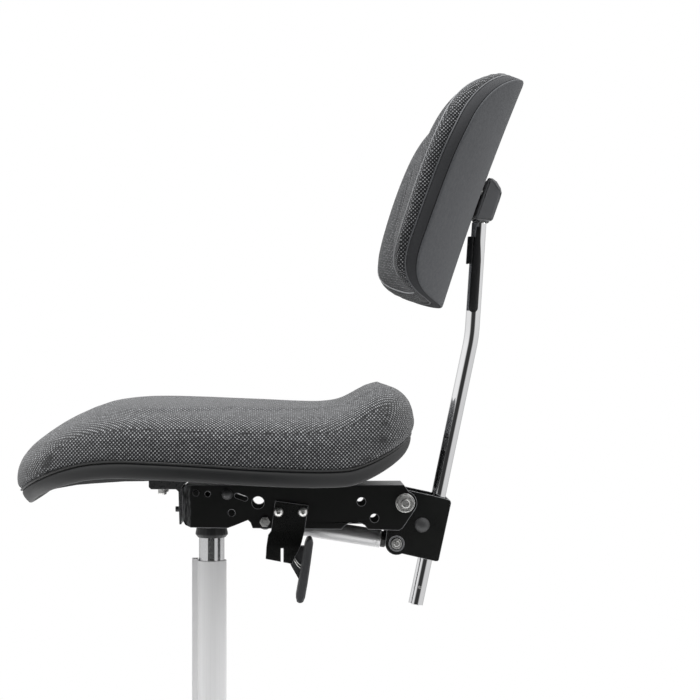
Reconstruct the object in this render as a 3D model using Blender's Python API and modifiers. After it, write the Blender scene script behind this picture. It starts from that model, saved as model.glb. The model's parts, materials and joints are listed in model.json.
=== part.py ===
"""Drum throne: height-adjustable seat with a tilting, wrap-around backrest.

Blender 4.5 script. The model is in metres, +Z up. The origin is on the floor
under the column, the front of the seat faces -X and the sitter's sides are Y.
Every drawing dimension below is in millimetres and becomes metres in the mesh.
"""
import math

import bmesh
import bpy
from mathutils import Matrix, Vector

MM = 0.001

# ---------------------------------------------------------------- driving dimensions (mm)
# Star base and column
BASE_RADIUS = 334.6
GLIDE_RADIUS = 317.6
ARM_COUNT = 5
HUB_TOP = 112.0
ARM_TOP = [(10, 97), (60, 92), (125, 80), (190, 67), (260, 55.5), (317.6, 49)]
ARM_BOTTOM = [(10, 62), (60, 62), (125, 54), (190, 44), (260, 36.5), (317.6, 33)]
TUBE_OUTER_RADIUS = 16.25
TUBE_INNER_RADIUS = 14.9
TUBE_BOTTOM = 48.3
TUBE_TOP = 330.0
CYLINDER_RADIUS = 14.0
CYLINDER_BOTTOM = 92.0
CYLINDER_TOP = 398.0
PISTON_ROD_RADIUS = 5.0
BUTTON_RADIUS = 4.0

# Seat mechanism: a folded channel, open below
CHANNEL_HALF_WIDTH = 32.0
CHANNEL_WALL = 2.5
CHANNEL_TOP = 415.0
CHANNEL_REAR = 209.5
TILT_PIVOT = (210.7, 395.4)
PIVOT_BOLT_RADIUS = 5.0
BRACKET_HALF_WIDTH = 28.5
BRACKET_WALL = 2.5
SPRING_FRONT_BOLT = (58.9, 375.2)
SPRING_FRONT_EYE = (58.9, 373.2)
SPRING_REAR_PIN = (201.7, 351.0)
CLAMP_BOLT = (229.5, 371.3)
LEVER_SHAFT = (-15.8, 406.2)
TILT_LEVER_PIN = (86.0, 342.5)

# Backrest rod: a straight lower length through the bracket, then a slight bend
ROD_RADIUS = 8.0
ROD_BOTTOM = (224.1, 281.4)
ROD_BEND = (286.0, 576.0)
ROD_TOP = (294.2, 701.0)
ROD_STOP_HEIGHT = 301.0
PAD_PIVOT = (302.0, 722.0)

# Seat: plan outline of the edge trim, and the heights along it
SEAT_CENTRE_X = 8.0
SEAT_FRONT_LENGTH = 206.0
SEAT_REAR_LENGTH = 210.0
SEAT_HALF_WIDTH = 204.0
SEAT_SQUARENESS = 2.35
SEAT_NOTCH_DEPTH = 17.0
SEAT_NOTCH_WIDTH = 45.0
SHELL_MIDDLE = 426.3
SHELL_HALF_THICKNESS = 4.5
TRIM_HALF_HEIGHT = 9.0
SEAT_AROUND = 30
EDGE_HEIGHTS = [
    (-198, 403.5), (-188, 411), (-175, 419), (-154, 428.5), (-127, 436.8), (-104, 440.6), (-78, 442),
    (-11, 439.5), (43, 436), (98, 433), (125, 432.2), (147, 433), (165, 438.2), (184, 446.8), (200, 456),
    (212, 465), (220, 470),
]
CREST_HEIGHTS = [
    (-212, 452), (-205, 479), (-194, 486), (-179, 489.5), (-157, 496), (-124, 504.5), (-80, 509),
    (-16, 507.6), (43, 505), (102, 502.3), (126, 502.7), (146, 507), (160, 515.5), (176, 525), (192, 529.5),
    (206, 529), (222, 528),
]
CUSHION_SCALES = [0.985, 0.95, 0.88, 0.77, 0.62, 0.42, 0.2]

# Backrest pad: its own frame leans back, v runs up the pad and d forward from its rear face
PAD_CENTRE = (297.1, 728.9)
PAD_LEAN = math.radians(20.0)
PAD_HALF_WIDTH = 190.0
PAD_HALF_HEIGHT = 130.0
PAD_WRAP = [(-130, 61), (-107, 55.8), (-70, 50.8), (-13, 49.2), (33, 48.6), (60, 51.5), (100, 57.5), (130, 61)]
PAD_MIDDLE_DEPTH = [(-130, 54), (0, 55), (60, 54), (100, 50), (130, 43)]
PAD_WING_DEPTH = [(-130, 84), (-45, 91), (0, 92), (55, 89), (100, 77), (130, 61)]
PAD_BOW = 3.0
PAD_SQUARENESS_TOP = 2.2
PAD_SQUARENESS_BOTTOM = 5.4
PAD_AROUND = 28
RING_SCALES = [0.3, 0.55, 0.77, 0.9]

GAP = 0.3

# ---------------------------------------------------------------- finishes
# colour (linear RGB), roughness, metallic
STEEL_BLACK = ((0.012, 0.012, 0.013), 0.42, 0.0)
ZINC = ((0.62, 0.62, 0.60), 0.32, 1.0)
CHROME = ((0.80, 0.80, 0.81), 0.07, 1.0)
SATIN_STEEL = ((0.66, 0.66, 0.67), 0.24, 1.0)
POLISHED_ALUMINIUM = ((0.74, 0.75, 0.76), 0.20, 1.0)
PLASTIC_BLACK = ((0.018, 0.018, 0.019), 0.50, 0.0)
PLASTIC_GREY = ((0.045, 0.047, 0.050), 0.55, 0.0)
RUBBER_BLACK = ((0.016, 0.016, 0.017), 0.62, 0.0)
SHELL_GREY = ((0.10, 0.104, 0.112), 0.75, 0.0)
TWEED = ((0.060, 0.062, 0.066), 0.92, 0.0)

# ---------------------------------------------------------------- scene set-up
for old_object in list(bpy.data.objects):
    bpy.data.objects.remove(old_object)

PARTS = bpy.data.collections.new("drum_throne")
CUTTERS = bpy.data.collections.new("drum_throne_cutters")
bpy.context.scene.collection.children.link(PARTS)
bpy.context.scene.collection.children.link(CUTTERS)


def add_axis(name, place, parent=None):
    """An empty on a joint's axis, which the joint's pieces are parented to."""
    empty = bpy.data.objects.new(name, None)
    empty.empty_display_size = 0.03
    empty.location = Vector(place) * MM
    PARTS.objects.link(empty)
    if parent is not None:
        empty.parent = parent
        empty.matrix_parent_inverse = Matrix.Translation(parent["place"]).inverted()
    empty["place"] = list(Vector(place) * MM)
    return empty


def finish_part(part, finish, axis):
    """Give a finished solid its material and hang it on its joint's empty."""
    colour, roughness, metallic = finish
    material = bpy.data.materials.new(part.name)
    material.use_nodes = True
    shader = material.node_tree.nodes["Principled BSDF"]
    shader.inputs["Base Color"].default_value = (*colour, 1.0)
    shader.inputs["Roughness"].default_value = roughness
    shader.inputs["Metallic"].default_value = metallic
    part.data.materials.clear()
    part.data.materials.append(material)
    part.parent = axis
    part.matrix_parent_inverse = Matrix.Translation(axis["place"]).inverted()
    return part


def place_object(name, mesh, matrix=None):
    """Link a mesh as a part, at the given place."""
    part = bpy.data.objects.new(name, mesh)
    part.matrix_basis = matrix if matrix is not None else Matrix.Identity(4)
    PARTS.objects.link(part)
    return part


def as_cutter(tool):
    """Move a helper solid out of the parts."""
    PARTS.objects.unlink(tool)
    CUTTERS.objects.link(tool)
    tool.hide_render = True
    tool.display_type = "WIRE"


def combine(part, tool, operation, solver="EXACT"):
    """Boolean of a part with a helper solid."""
    as_cutter(tool)
    modifier = part.modifiers.new(tool.name, "BOOLEAN")
    modifier.operation = operation
    modifier.solver = solver
    modifier.object = tool


def cut(part, *tools, solver="EXACT"):
    for tool in tools:
        combine(part, tool, "DIFFERENCE", solver)


def join(part, *tools, solver="EXACT"):
    for tool in tools:
        combine(part, tool, "UNION", solver)


def soften(part, width, segments=1, angle=40.0):
    """Small rounded edges."""
    bevel = part.modifiers.new("edges", "BEVEL")
    bevel.width = width * MM
    bevel.segments = segments
    bevel.limit_method = "ANGLE"
    bevel.angle_limit = math.radians(angle)
    bevel.harden_normals = False


def shade_round(mesh, angle=35.0):
    mesh.shade_smooth()
    mesh.set_sharp_from_angle(angle=math.radians(angle))


def circle_points(centre, radius, count=14):
    """Points of a circle in an outline."""
    turn = 2.0 * math.pi / count
    return [
        (centre[0] + radius * math.cos(turn * i), centre[1] + radius * math.sin(turn * i))
        for i in range(count)
    ]


def arc_points(centre, radius, start, end, count):
    """Points of an arc, from one angle to the other in degrees."""
    step = math.radians(end - start) / count
    first = math.radians(start)
    return [
        (centre[0] + radius * math.cos(first + step * i), centre[1] + radius * math.sin(first + step * i))
        for i in range(count + 1)
    ]


PLANES = {
    "XZ": Matrix(((1, 0, 0, 0), (0, 0, -1, 0), (0, 1, 0, 0), (0, 0, 0, 1))),
    "XY": Matrix.Identity(4),
    "YZ": Matrix(((0, 0, 1, 0), (1, 0, 0, 0), (0, 1, 0, 0), (0, 0, 0, 1))),
}


def prism(name, outline, low, high, holes=(), plane="XZ"):
    """A flat outline with holes, extruded from low to high along the axis left out of the plane."""
    curve = bpy.data.curves.new(name, "CURVE")
    curve.dimensions = "2D"
    curve.fill_mode = "BOTH"
    curve.extrude = abs(high - low) * MM / 2.0
    for ring in (outline, *holes):
        spline = curve.splines.new("POLY")
        spline.points.add(len(ring) - 1)
        for point, (across, up) in zip(spline.points, ring):
            point.co = (across * MM, up * MM, 0.0, 1.0)
        spline.use_cyclic_u = True
    middle = (low + high) / 2.0 * MM
    offsets = {"XZ": (0, middle, 0), "XY": (0, 0, middle), "YZ": (middle, 0, 0)}
    source = bpy.data.objects.new(name + "_outline", curve)
    PARTS.objects.link(source)
    mesh = bpy.data.meshes.new_from_object(source.evaluated_get(bpy.context.evaluated_depsgraph_get()))
    bpy.data.objects.remove(source)
    weld(mesh)
    return place_object(name, mesh, Matrix.Translation(offsets[plane]) @ PLANES[plane])


def weld(mesh):
    """Join the loose caps of a converted curve and turn its faces outwards."""
    shape = bmesh.new()
    shape.from_mesh(mesh)
    bmesh.ops.remove_doubles(shape, verts=shape.verts, dist=0.00001)
    bmesh.ops.recalc_face_normals(shape, faces=shape.faces)
    shape.to_mesh(mesh)
    shape.free()


def axis_matrix(origin, direction):
    """Placement whose local Z runs along a direction."""
    rotation = Vector((0, 0, 1)).rotation_difference(Vector(direction).normalized())
    return Matrix.Translation(Vector(origin) * MM) @ rotation.to_matrix().to_4x4()


def turned(name, profile, origin=(0, 0, 0), direction=(0, 0, 1), steps=20, closed=True):
    """A profile of (radius, height) points, turned about its axis.

    A closed profile is a ring. An open one starts and ends on the axis.
    """
    mesh = bpy.data.meshes.new(name)
    points = [(radius * MM, 0.0, height * MM) for radius, height in profile]
    edges = [(i, i + 1) for i in range(len(points) - 1)]
    if closed:
        edges.append((len(points) - 1, 0))
    mesh.from_pydata(points, edges, [])
    part = place_object(name, mesh, axis_matrix(origin, direction))
    screw = part.modifiers.new("turn", "SCREW")
    screw.axis = "Z"
    screw.steps = steps
    screw.render_steps = steps
    screw.use_merge_vertices = True
    screw.merge_threshold = 0.00001
    screw.use_smooth_shade = True
    return part


def rod(name, start, end, radius, steps=14):
    """A plain round bar between two points."""
    direction = Vector(end) - Vector(start)
    length = direction.length
    profile = [(0, length), (radius, length), (radius, 0), (0, 0)]
    return turned(name, profile, start, direction, steps, closed=False)


def ring(name, origin, direction, inner, outer, length, steps=18):
    """A plain tube that starts at origin."""
    profile = [(outer, length), (outer, 0), (inner, 0), (inner, length)]
    return turned(name, profile, origin, direction, steps)


def box(name, low, high):
    """A box between two corners."""
    mesh = bpy.data.meshes.new(name)
    shape = bmesh.new()
    bmesh.ops.create_cube(shape, size=1.0)
    size = [(b - a) * MM for a, b in zip(low, high)]
    middle = [(a + b) / 2.0 * MM for a, b in zip(low, high)]
    bmesh.ops.scale(shape, vec=size, verts=shape.verts)
    bmesh.ops.translate(shape, vec=middle, verts=shape.verts)
    shape.to_mesh(mesh)
    shape.free()
    return place_object(name, mesh)


def hexagon(across_flats):
    """Outline of a nut, flat side up."""
    return circle_points((0, 0), across_flats / math.sqrt(3.0), 6)


def y_prism_at(name, outline, centre, low, high, hole=None):
    """An outline about a centre in XZ, extruded along Y, with an optional round hole."""
    moved = [(x + centre[0], z + centre[1]) for x, z in outline]
    holes = [] if hole is None else [circle_points(centre, hole)]
    return prism(name, moved, low, high, holes)


def bent_bar(name, points, radius, bevel_resolution=3):
    """A round bar along a list of points, as a mesh."""
    curve = bpy.data.curves.new(name, "CURVE")
    curve.dimensions = "3D"
    curve.bevel_depth = radius * MM
    curve.bevel_resolution = bevel_resolution
    curve.use_fill_caps = True
    spline = curve.splines.new("POLY")
    spline.points.add(len(points) - 1)
    for point, place in zip(spline.points, points):
        point.co = (*(Vector(place) * MM), 1.0)
    source = bpy.data.objects.new(name + "_path", curve)
    PARTS.objects.link(source)
    mesh = bpy.data.meshes.new_from_object(source.evaluated_get(bpy.context.evaluated_depsgraph_get()))
    bpy.data.objects.remove(source)
    weld(mesh)
    shade_round(mesh)
    return place_object(name, mesh)


def rounded_path(corners, radius, steps=5):
    """Corner points with each inner corner replaced by a smooth curve."""
    points = [Vector(corners[0])]
    for before, corner, after in zip(corners, corners[1:], corners[2:]):
        corner = Vector(corner)
        start = corner + (Vector(before) - corner).normalized() * radius
        end = corner + (Vector(after) - corner).normalized() * radius
        for i in range(steps + 1):
            t = i / steps
            points.append(start * (1 - t) ** 2 + corner * 2 * t * (1 - t) + end * t ** 2)
    points.append(Vector(corners[-1]))
    return points


def loft(name, rings, first_pole=None, last_pole=None):
    """A skin over rings of points. Poles close its ends, and without them it closes on itself."""
    shape = bmesh.new()
    rows = [[shape.verts.new(Vector(point) * MM) for point in row] for row in rings]
    count = len(rings[0])
    pairs = list(zip(rows, rows[1:]))
    if first_pole is None:
        pairs.append((rows[-1], rows[0]))
    for lower, upper in pairs:
        for i in range(count):
            j = (i + 1) % count
            shape.faces.new((lower[i], lower[j], upper[j], upper[i]))
    for pole, row in ((first_pole, rows[0]), (last_pole, rows[-1])):
        if pole is not None:
            tip = shape.verts.new(Vector(pole) * MM)
            for i in range(count):
                shape.faces.new((row[i], row[(i + 1) % count], tip))
    bmesh.ops.recalc_face_normals(shape, faces=shape.faces)
    mesh = bpy.data.meshes.new(name)
    shape.to_mesh(mesh)
    shape.free()
    shade_round(mesh, 50.0)
    return place_object(name, mesh)


def curve_value(knots, x):
    """Smooth curve through (x, value) knots, flat slopes beyond the ends."""
    if x <= knots[0][0]:
        return knots[0][1]
    if x >= knots[-1][0]:
        return knots[-1][1]
    last = len(knots) - 1
    i = max(k for k in range(last) if knots[k][0] <= x)

    def slope(k):
        low, high = max(k - 1, 0), min(k + 1, last)
        return (knots[high][1] - knots[low][1]) / (knots[high][0] - knots[low][0])

    span = knots[i + 1][0] - knots[i][0]
    t = (x - knots[i][0]) / span
    rise = (2 * t ** 3 - 3 * t ** 2 + 1) * knots[i][1] + (3 * t ** 2 - 2 * t ** 3) * knots[i + 1][1]
    lean = (t ** 3 - 2 * t ** 2 + t) * slope(i) + (t ** 3 - t ** 2) * slope(i + 1)
    return rise + lean * span


def ease(low, high, x):
    """0 at low, 1 at high, with a smooth change between."""
    t = min(max((x - low) / (high - low), 0.0), 1.0)
    return t * t * (3.0 - 2.0 * t)


# ---------------------------------------------------------------- joint axes
BASE = add_axis("base_frame", (0, 0, 0))
SWIVEL = add_axis("column_swivel_axis", (0, 0, TUBE_BOTTOM), BASE)
SEAT = add_axis("seat_height_axis", (0, 0, TUBE_TOP), SWIVEL)
TILT = add_axis("backrest_tilt_axis", (TILT_PIVOT[0], 0, TILT_PIVOT[1]), SEAT)
SPRING = add_axis("tilt_spring_axis", (SPRING_REAR_PIN[0], 0, SPRING_REAR_PIN[1]), TILT)
SPRING_ROD = add_axis("tilt_spring_rod_axis", (SPRING_FRONT_EYE[0], 0, SPRING_FRONT_EYE[1]), SPRING)
KNOB = add_axis("clamp_knob_axis", (CLAMP_BOLT[0], 0, CLAMP_BOLT[1]), TILT)
POST = add_axis("backrest_height_axis", (ROD_BOTTOM[0], 0, ROD_BOTTOM[1]), TILT)
STRIP_BUTTON = add_axis("rod_button_axis", (284.0, 0, 670.0), POST)
PAD = add_axis("backrest_pad_axis", (PAD_PIVOT[0], 0, PAD_PIVOT[1]), POST)
TILT_LEVER = add_axis("tilt_lever_axis", (TILT_LEVER_PIN[0], 0, TILT_LEVER_PIN[1]), SEAT)
HEIGHT_LEVER = add_axis("height_lever_axis", (LEVER_SHAFT[0], 0, LEVER_SHAFT[1]), SEAT)
RELEASE = add_axis("release_button_axis", (0, 0, CYLINDER_TOP), SEAT)


# ---------------------------------------------------------------- base and column
def arm_section(reach):
    """Section of an arm at a distance from the column: a box with chamfered corners."""
    top = curve_value(ARM_TOP, reach)
    bottom = curve_value(ARM_BOTTOM, reach)
    half = 19.0 - 7.0 * reach / GLIDE_RADIUS
    chamfer = 5.0
    return [
        (reach, -half, bottom + 2), (reach, -half + 2, bottom), (reach, half - 2, bottom), (reach, half, bottom + 2),
        (reach, half, top - chamfer), (reach, half - chamfer, top), (reach, -half + chamfer, top),
        (reach, -half, top - chamfer),
    ]


def make_star_base():
    """Hub, five tapered arms and a round boss at each tip, as one casting."""
    hub = turned("star_base", [
        (0, HUB_TOP), (18.5, HUB_TOP), (23, 109), (29, 99), (31, 90), (31, 60), (27, 46), (0, 45),
    ], steps=24, closed=False)
    sockets = []
    for i in range(ARM_COUNT):
        spin = Matrix.Rotation(math.pi + 2.0 * math.pi * i / ARM_COUNT, 4, "Z")
        sections = [arm_section(reach) for reach in (10, 125, 225, GLIDE_RADIUS)]
        arm = loft(f"arm_{i + 1}", sections, (9.0, 0, 79), (GLIDE_RADIUS + 1.0, 0, 41))
        arm.matrix_basis = spin
        boss_radius = BASE_RADIUS - GLIDE_RADIUS
        boss = turned(f"boss_{i + 1}", [
            (0, 50.5), (13, 50), (boss_radius, 46), (boss_radius, 30), (0, 30),
        ], steps=16, closed=False)
        boss.matrix_basis = spin @ Matrix.Translation((GLIDE_RADIUS * MM, 0, 0))
        socket = rod(f"glide_socket_{i + 1}", (0, 0, 20), (0, 0, 44), 5.0 + GAP, 12)
        socket.matrix_basis = spin @ Matrix.Translation((GLIDE_RADIUS * MM, 0, 20 * MM))
        join(hub, arm, boss, solver="MANIFOLD")
        sockets.append(socket)
    cut(hub, *sockets, solver="MANIFOLD")
    seat = TUBE_BOTTOM - GAP
    cut(hub, turned("hub_bore", [
        (0, 140), (TUBE_OUTER_RADIUS + GAP, 140), (TUBE_OUTER_RADIUS + GAP, seat), (14, seat), (14, 30), (0, 30),
    ], steps=24, closed=False), solver="MANIFOLD")
    finish_part(hub, POLISHED_ALUMINIUM, BASE)


def make_glides():
    """Plastic feet with a stem that plugs into each arm."""
    profile = [
        (0, 42.5), (5.0, 41.5), (5.0, 29.7), (10, 29.7), (12, 14), (24, 6), (24, 1.5), (22.5, 0), (0, 0),
    ]
    for i in range(ARM_COUNT):
        angle = math.pi + 2.0 * math.pi * i / ARM_COUNT
        place = (GLIDE_RADIUS * math.cos(angle), GLIDE_RADIUS * math.sin(angle), 0)
        foot = turned(f"glide_foot_{i + 1}", profile, place, steps=14, closed=False)
        finish_part(foot, PLASTIC_BLACK, BASE)


def make_column():
    """Outer tube with the spine along its front, and what lies in it."""
    tube = ring("column_outer_tube", (0, 0, TUBE_BOTTOM), (0, 0, 1), TUBE_INNER_RADIUS,
                TUBE_OUTER_RADIUS, TUBE_TOP - TUBE_BOTTOM, 24)
    spine = box("tube_spine", (-21.4, -5.5, HUB_TOP + 10), (-TUBE_INNER_RADIUS - 0.2, 5.5, TUBE_TOP + 2))
    join(tube, spine)
    finish_part(tube, SATIN_STEEL, BASE)

    bush = ring("guide_bush", (0, 0, 262), (0, 0, 1), CYLINDER_RADIUS + 0.25, 14.62, 67.5, 24)
    finish_part(bush, PLASTIC_BLACK, BASE)
    plate = ring("column_foot_plate", (0, 0, 49), (0, 0, 1), 5.5, 14.5, 4, 16)
    finish_part(plate, ZINC, BASE)
    bearing = turned("thrust_bearing", [
        (11.2, 58.3), (11.2, 53.3), (5.5, 53.3), (5.5, 58.3),
    ], steps=14)
    finish_part(bearing, SATIN_STEEL, BASE)

    piston = turned("piston_rod", [
        (0, 250), (10.8, 250), (10.8, 240), (PISTON_ROD_RADIUS, 240), (PISTON_ROD_RADIUS, 61.0),
        (8.0, 61.0), (8.0, 58.7), (PISTON_ROD_RADIUS, 58.7), (PISTON_ROD_RADIUS, 48.6),
        (3.9, 48.6), (3.9, 46.0), (PISTON_ROD_RADIUS, 46.0), (4.2, 42.5), (0, 42.5),
    ], steps=14, closed=False)
    finish_part(piston, CHROME, SWIVEL)
    stop = turned("bump_stop", [
        (9.8, 70), (10.6, 65), (9.8, 61.4), (5.3, 61.4), (5.3, 70),
    ], steps=14)
    finish_part(stop, RUBBER_BLACK, SWIVEL)
    clip = ring("retaining_clip", (0, 0, 46.5), (0, 0, 1), 4.2, 8.5, 1.7, 14)
    finish_part(clip, ZINC, SWIVEL)

    cylinder = turned("gas_cylinder", [
        (0, 384), (4.3, 384), (4.3, CYLINDER_TOP), (13.0, CYLINDER_TOP), (CYLINDER_RADIUS, 364),
        (CYLINDER_RADIUS, CYLINDER_BOTTOM), (5.4, CYLINDER_BOTTOM), (5.4, 97), (11.5, 97),
        (11.5, 378), (0, 378),
    ], steps=24, closed=False)
    finish_part(cylinder, SATIN_STEEL, SEAT)
    collar = turned("cone_collar", [
        (16.6, 366.4), (17.85, 359.6), (17.85, 358.6), (15.2, 355.3), (14.35, 355.3), (14.35, 366.4),
    ], steps=24)
    finish_part(collar, PLASTIC_BLACK, SEAT)
    button = turned("release_button", [
        (0, 405.0), (3.2, 404.7), (BUTTON_RADIUS, 403.8), (BUTTON_RADIUS, 389), (0, 389),
    ], steps=14, closed=False)
    finish_part(button, CHROME, RELEASE)


def make_cone_socket():
    """Tapered socket for the cylinder, with the plate that welds it into the channel."""
    socket = turned("cone_socket", [
        (19, 400), (19, 366.9), (14.4, 366.9), (13.35, 400),
    ], steps=20)
    reach = CHANNEL_HALF_WIDTH - CHANNEL_WALL - GAP
    plate = box("socket_plate", (-24, -reach, 390), (24, reach, 394))
    clear = rod("socket_plate_hole", (0, 0, 380), (0, 0, 399), 16.5, 20)
    cut(plate, clear)
    join(socket, plate)
    finish_part(socket, STEEL_BLACK, SEAT)


# ---------------------------------------------------------------- channel and what is fixed to it
def slot_points(centre, length, width, angle, count=5):
    """Outline of a straight slot with round ends."""
    turn = math.radians(angle)
    reach = (length - width) / 2.0
    ends = []
    for side in (1, -1):
        middle = (centre[0] + side * reach * math.cos(turn), centre[1] + side * reach * math.sin(turn))
        start = angle - 90.0 if side == 1 else angle + 90.0
        ends += arc_points(middle, width / 2.0, start, start + 180.0, count)
    return ends


def make_channel():
    """Folded channel: top, front and two sides, open below and behind."""
    outline = [(-26, CHANNEL_TOP), (-31, 410.5), (-30, 376), (-27.3, 371.5), (-21.3, 368.7), (18.6, 368.1),
               (26.2, 370.9), (40.6, 376.8), (43.3, 374.2), (45.6, 368), (142, 366.9)]
    outline += [(170.5, 366.9), (204, 365.6), (208, 368)]
    outline += arc_points(TILT_PIVOT, 13.0, -38.0, 72.0, 7)
    outline += [(CHANNEL_REAR, CHANNEL_TOP)]
    holes = [
        circle_points((51.5, 395.7), 6.8),
        slot_points((33.1, 401.6), 15.0, 5.5, -20.0),
        circle_points((-3.0, 405.1), 3.0, 10),
        circle_points(LEVER_SHAFT, 3.4, 12),
        circle_points((163.4, 396.7), 4.75),
        circle_points((177.6, 378.9), 4.75),
        circle_points(SPRING_FRONT_BOLT, 3.3, 12),
        circle_points(TILT_PIVOT, PIVOT_BOLT_RADIUS + GAP),
    ]
    channel = prism("main_channel", outline, -CHANNEL_HALF_WIDTH, CHANNEL_HALF_WIDTH, holes)
    inner = CHANNEL_HALF_WIDTH - CHANNEL_WALL
    hollow = prism("channel_hollow", [
        (-24.5, CHANNEL_TOP - CHANNEL_WALL), (-28.5, 409.5), (-28.5, 350), (260, 350),
        (260, CHANNEL_TOP - CHANNEL_WALL),
    ], -inner, inner)
    cut(channel, hollow)
    near_arch = prism("near_arch", [
        (139, 364), (142, 366.9), (146, 371.2), (151, 374.0), (156.5, 374.8), (162, 374.0), (167, 371.2),
        (170.5, 366.9), (172.5, 364),
    ], -40, -20)
    cut(channel, near_arch, rod("near_side_hole", (22.9, -40, 384.7), (22.9, -20, 384.7), 3.8, 12))
    cut(channel, rod("channel_top_hole", (196, -14, 405), (196, -14, 425), 3.2, 12))
    for side, y in (("left", -18), ("right", 18)):
        cut(channel, rod(f"channel_seat_hole_{side}", (120, y, 405), (120, y, 425), 3.3, 12))
    for number, x in enumerate((73.6, 100.1)):
        cut(channel, rod(f"lever_screw_hole_{number}", (x, -40, 385.9), (x, -20, 385.9), 3.3, 12))
    join(channel, turned("dome_rivet", [
        (0, 7.4), (2.6, 6.9), (4.6, 5.4), (5.7, 3.1), (5.7, 1.4), (0, 1.4),
    ], (18.1, -29.2, 404.6), (0, -1, 0), 14, closed=False))
    finish_part(channel, STEEL_BLACK, SEAT)


def make_seat_mounting():
    """Front flange, mounting plate and the four seat bolts."""
    flange = prism("front_flange", [
        (-67, 420.6), (-67, 412.5), (-64.5, 410), (-37.5, 410), (-34.8, 407.5), (-33.8, 372), (-31.6, 372),
        (-31.6, 411), (-29.2, 415.4), (-26.5, 416.2), (-26.5, 420.6),
    ], -31, 31)
    for side, y in (("left", -18), ("right", 18)):
        cut(flange, rod(f"flange_hole_{side}", (-53, y, 400), (-53, y, 430), 3.3, 12))
    join(flange, rod("flange_stop_pin", (-38.5, -22, 388), (-32.6, -22, 388), 3.0, 14))
    finish_part(flange, STEEL_BLACK, SEAT)

    plate = box("seat_mount_plate", (12, -27, CHANNEL_TOP + GAP), (158, 27, 421.0))
    for side, y in (("left", -18), ("right", 18)):
        cut(plate, rod(f"mount_hole_{side}", (120, y, 405), (120, y, 430), 3.3, 12))
    finish_part(plate, STEEL_BLACK, SEAT)

    for end, x, head_top in (("front", -53, 409.6), ("rear", 120, 412.1)):
        for side, y in (("left", -18), ("right", 18)):
            bolt = turned(f"seat_bolt_{end}_{side}", [
                (0, 429.5), (3.0, 429.5), (3.0, head_top), (4.75, head_top), (4.75, head_top - 4.6),
                (4.0, head_top - 6.0), (0, head_top - 6.0),
            ], (x, y, 0), steps=12, closed=False)
            finish_part(bolt, ZINC, SEAT)


def make_pivot():
    """Tilt pivot: a bolt through the channel and bracket, with its sleeve, washer and nut."""
    x, z = TILT_PIVOT
    bolt = turned("pivot_bolt", [
        (0, 87), (4.2, 87), (PIVOT_BOLT_RADIUS, 85.8), (PIVOT_BOLT_RADIUS, 8.4), (9.2, 8.4),
        (9.2, 2.2), (8.0, 0.8), (0, 0.8),
    ], (x, 43, z), (0, -1, 0), 18, closed=False)
    finish_part(bolt, ZINC, SEAT)
    washer = ring("pivot_washer", (x, -32.3, z), (0, -1, 0), PIVOT_BOLT_RADIUS + GAP, 10.5, 1.7, 20)
    finish_part(washer, ZINC, SEAT)
    nut = y_prism_at("pivot_nut", hexagon(17.0), TILT_PIVOT, -42.3, -34.3, PIVOT_BOLT_RADIUS + GAP)
    finish_part(nut, ZINC, SEAT)
    sleeve = ring("pivot_sleeve", (x, 25.6, z), (0, -1, 0), PIVOT_BOLT_RADIUS + GAP, 8.0, 51.2, 16)
    finish_part(sleeve, SATIN_STEEL, TILT)


def make_spring_fasteners():
    """Bolt and nut that hold the front of the tilt spring."""
    x, z = SPRING_FRONT_BOLT
    bolt = turned("spring_front_bolt", [
        (0, 78), (3.0, 78), (3.0, 4.2), (5.5, 4.2), (5.5, 0), (0, 0),
    ], (x, 36.8, z), (0, -1, 0), 14, closed=False)
    finish_part(bolt, ZINC, SEAT)
    nut = y_prism_at("spring_front_nut", hexagon(10.0), SPRING_FRONT_BOLT, -37.4, -32.3, 3.3)
    finish_part(nut, ZINC, SEAT)


def make_lever_bracket():
    """Joggled plate on the near side, with the riveted pin that carries the tilt lever."""
    strip = prism("lever_bracket", [
        (-32.3, 400), (-34.8, 400), (-34.8, 364.5), (-43.4, 349.0), (-43.4, 326), (-40.9, 326),
        (-40.9, 348.2), (-32.3, 363.7),
    ], 52, 112, plane="YZ")
    face = prism("lever_bracket_face", [
        (70, 398), (106, 393), (102, 366), (98.5, 353), (96.5, 347), (91.8, 339), (88.3, 330.6),
        (59.8, 336), (60.6, 349), (62.4, 361), (65.6, 365.5),
    ], -60, -20, [circle_points((73.6, 385.9), 3.4, 12), circle_points((100.1, 385.9), 3.4, 12)])
    combine(strip, face, "INTERSECT")
    cut(strip, box("lever_bracket_slit", (76.2, -50, 320), (78.9, -38, 347.5)))
    join(strip, rod("tilt_lever_pin", (TILT_LEVER_PIN[0], -42.2, TILT_LEVER_PIN[1]),
                    (TILT_LEVER_PIN[0], -21, TILT_LEVER_PIN[1]), 3.0, 14))
    finish_part(strip, STEEL_BLACK, SEAT)
    for name, x in (("front", 73.6), ("rear", 100.1)):
        screw = turned(f"lever_screw_{name}", [
            (0, 14.6), (2.2, 14.6), (4.4, 13.6), (5.5, 11.4), (5.5, 10.6), (3.0, 10.6), (3.0, 0), (0, 0),
        ], (x, -24.5, 385.9), (0, -1, 0), 14, closed=False)
        socket = y_prism_at(f"lever_screw_socket_{name}", hexagon(4.0), (x, 385.9), -40, -37.2)
        cut(screw, socket)
        finish_part(screw, ZINC, SEAT)


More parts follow.
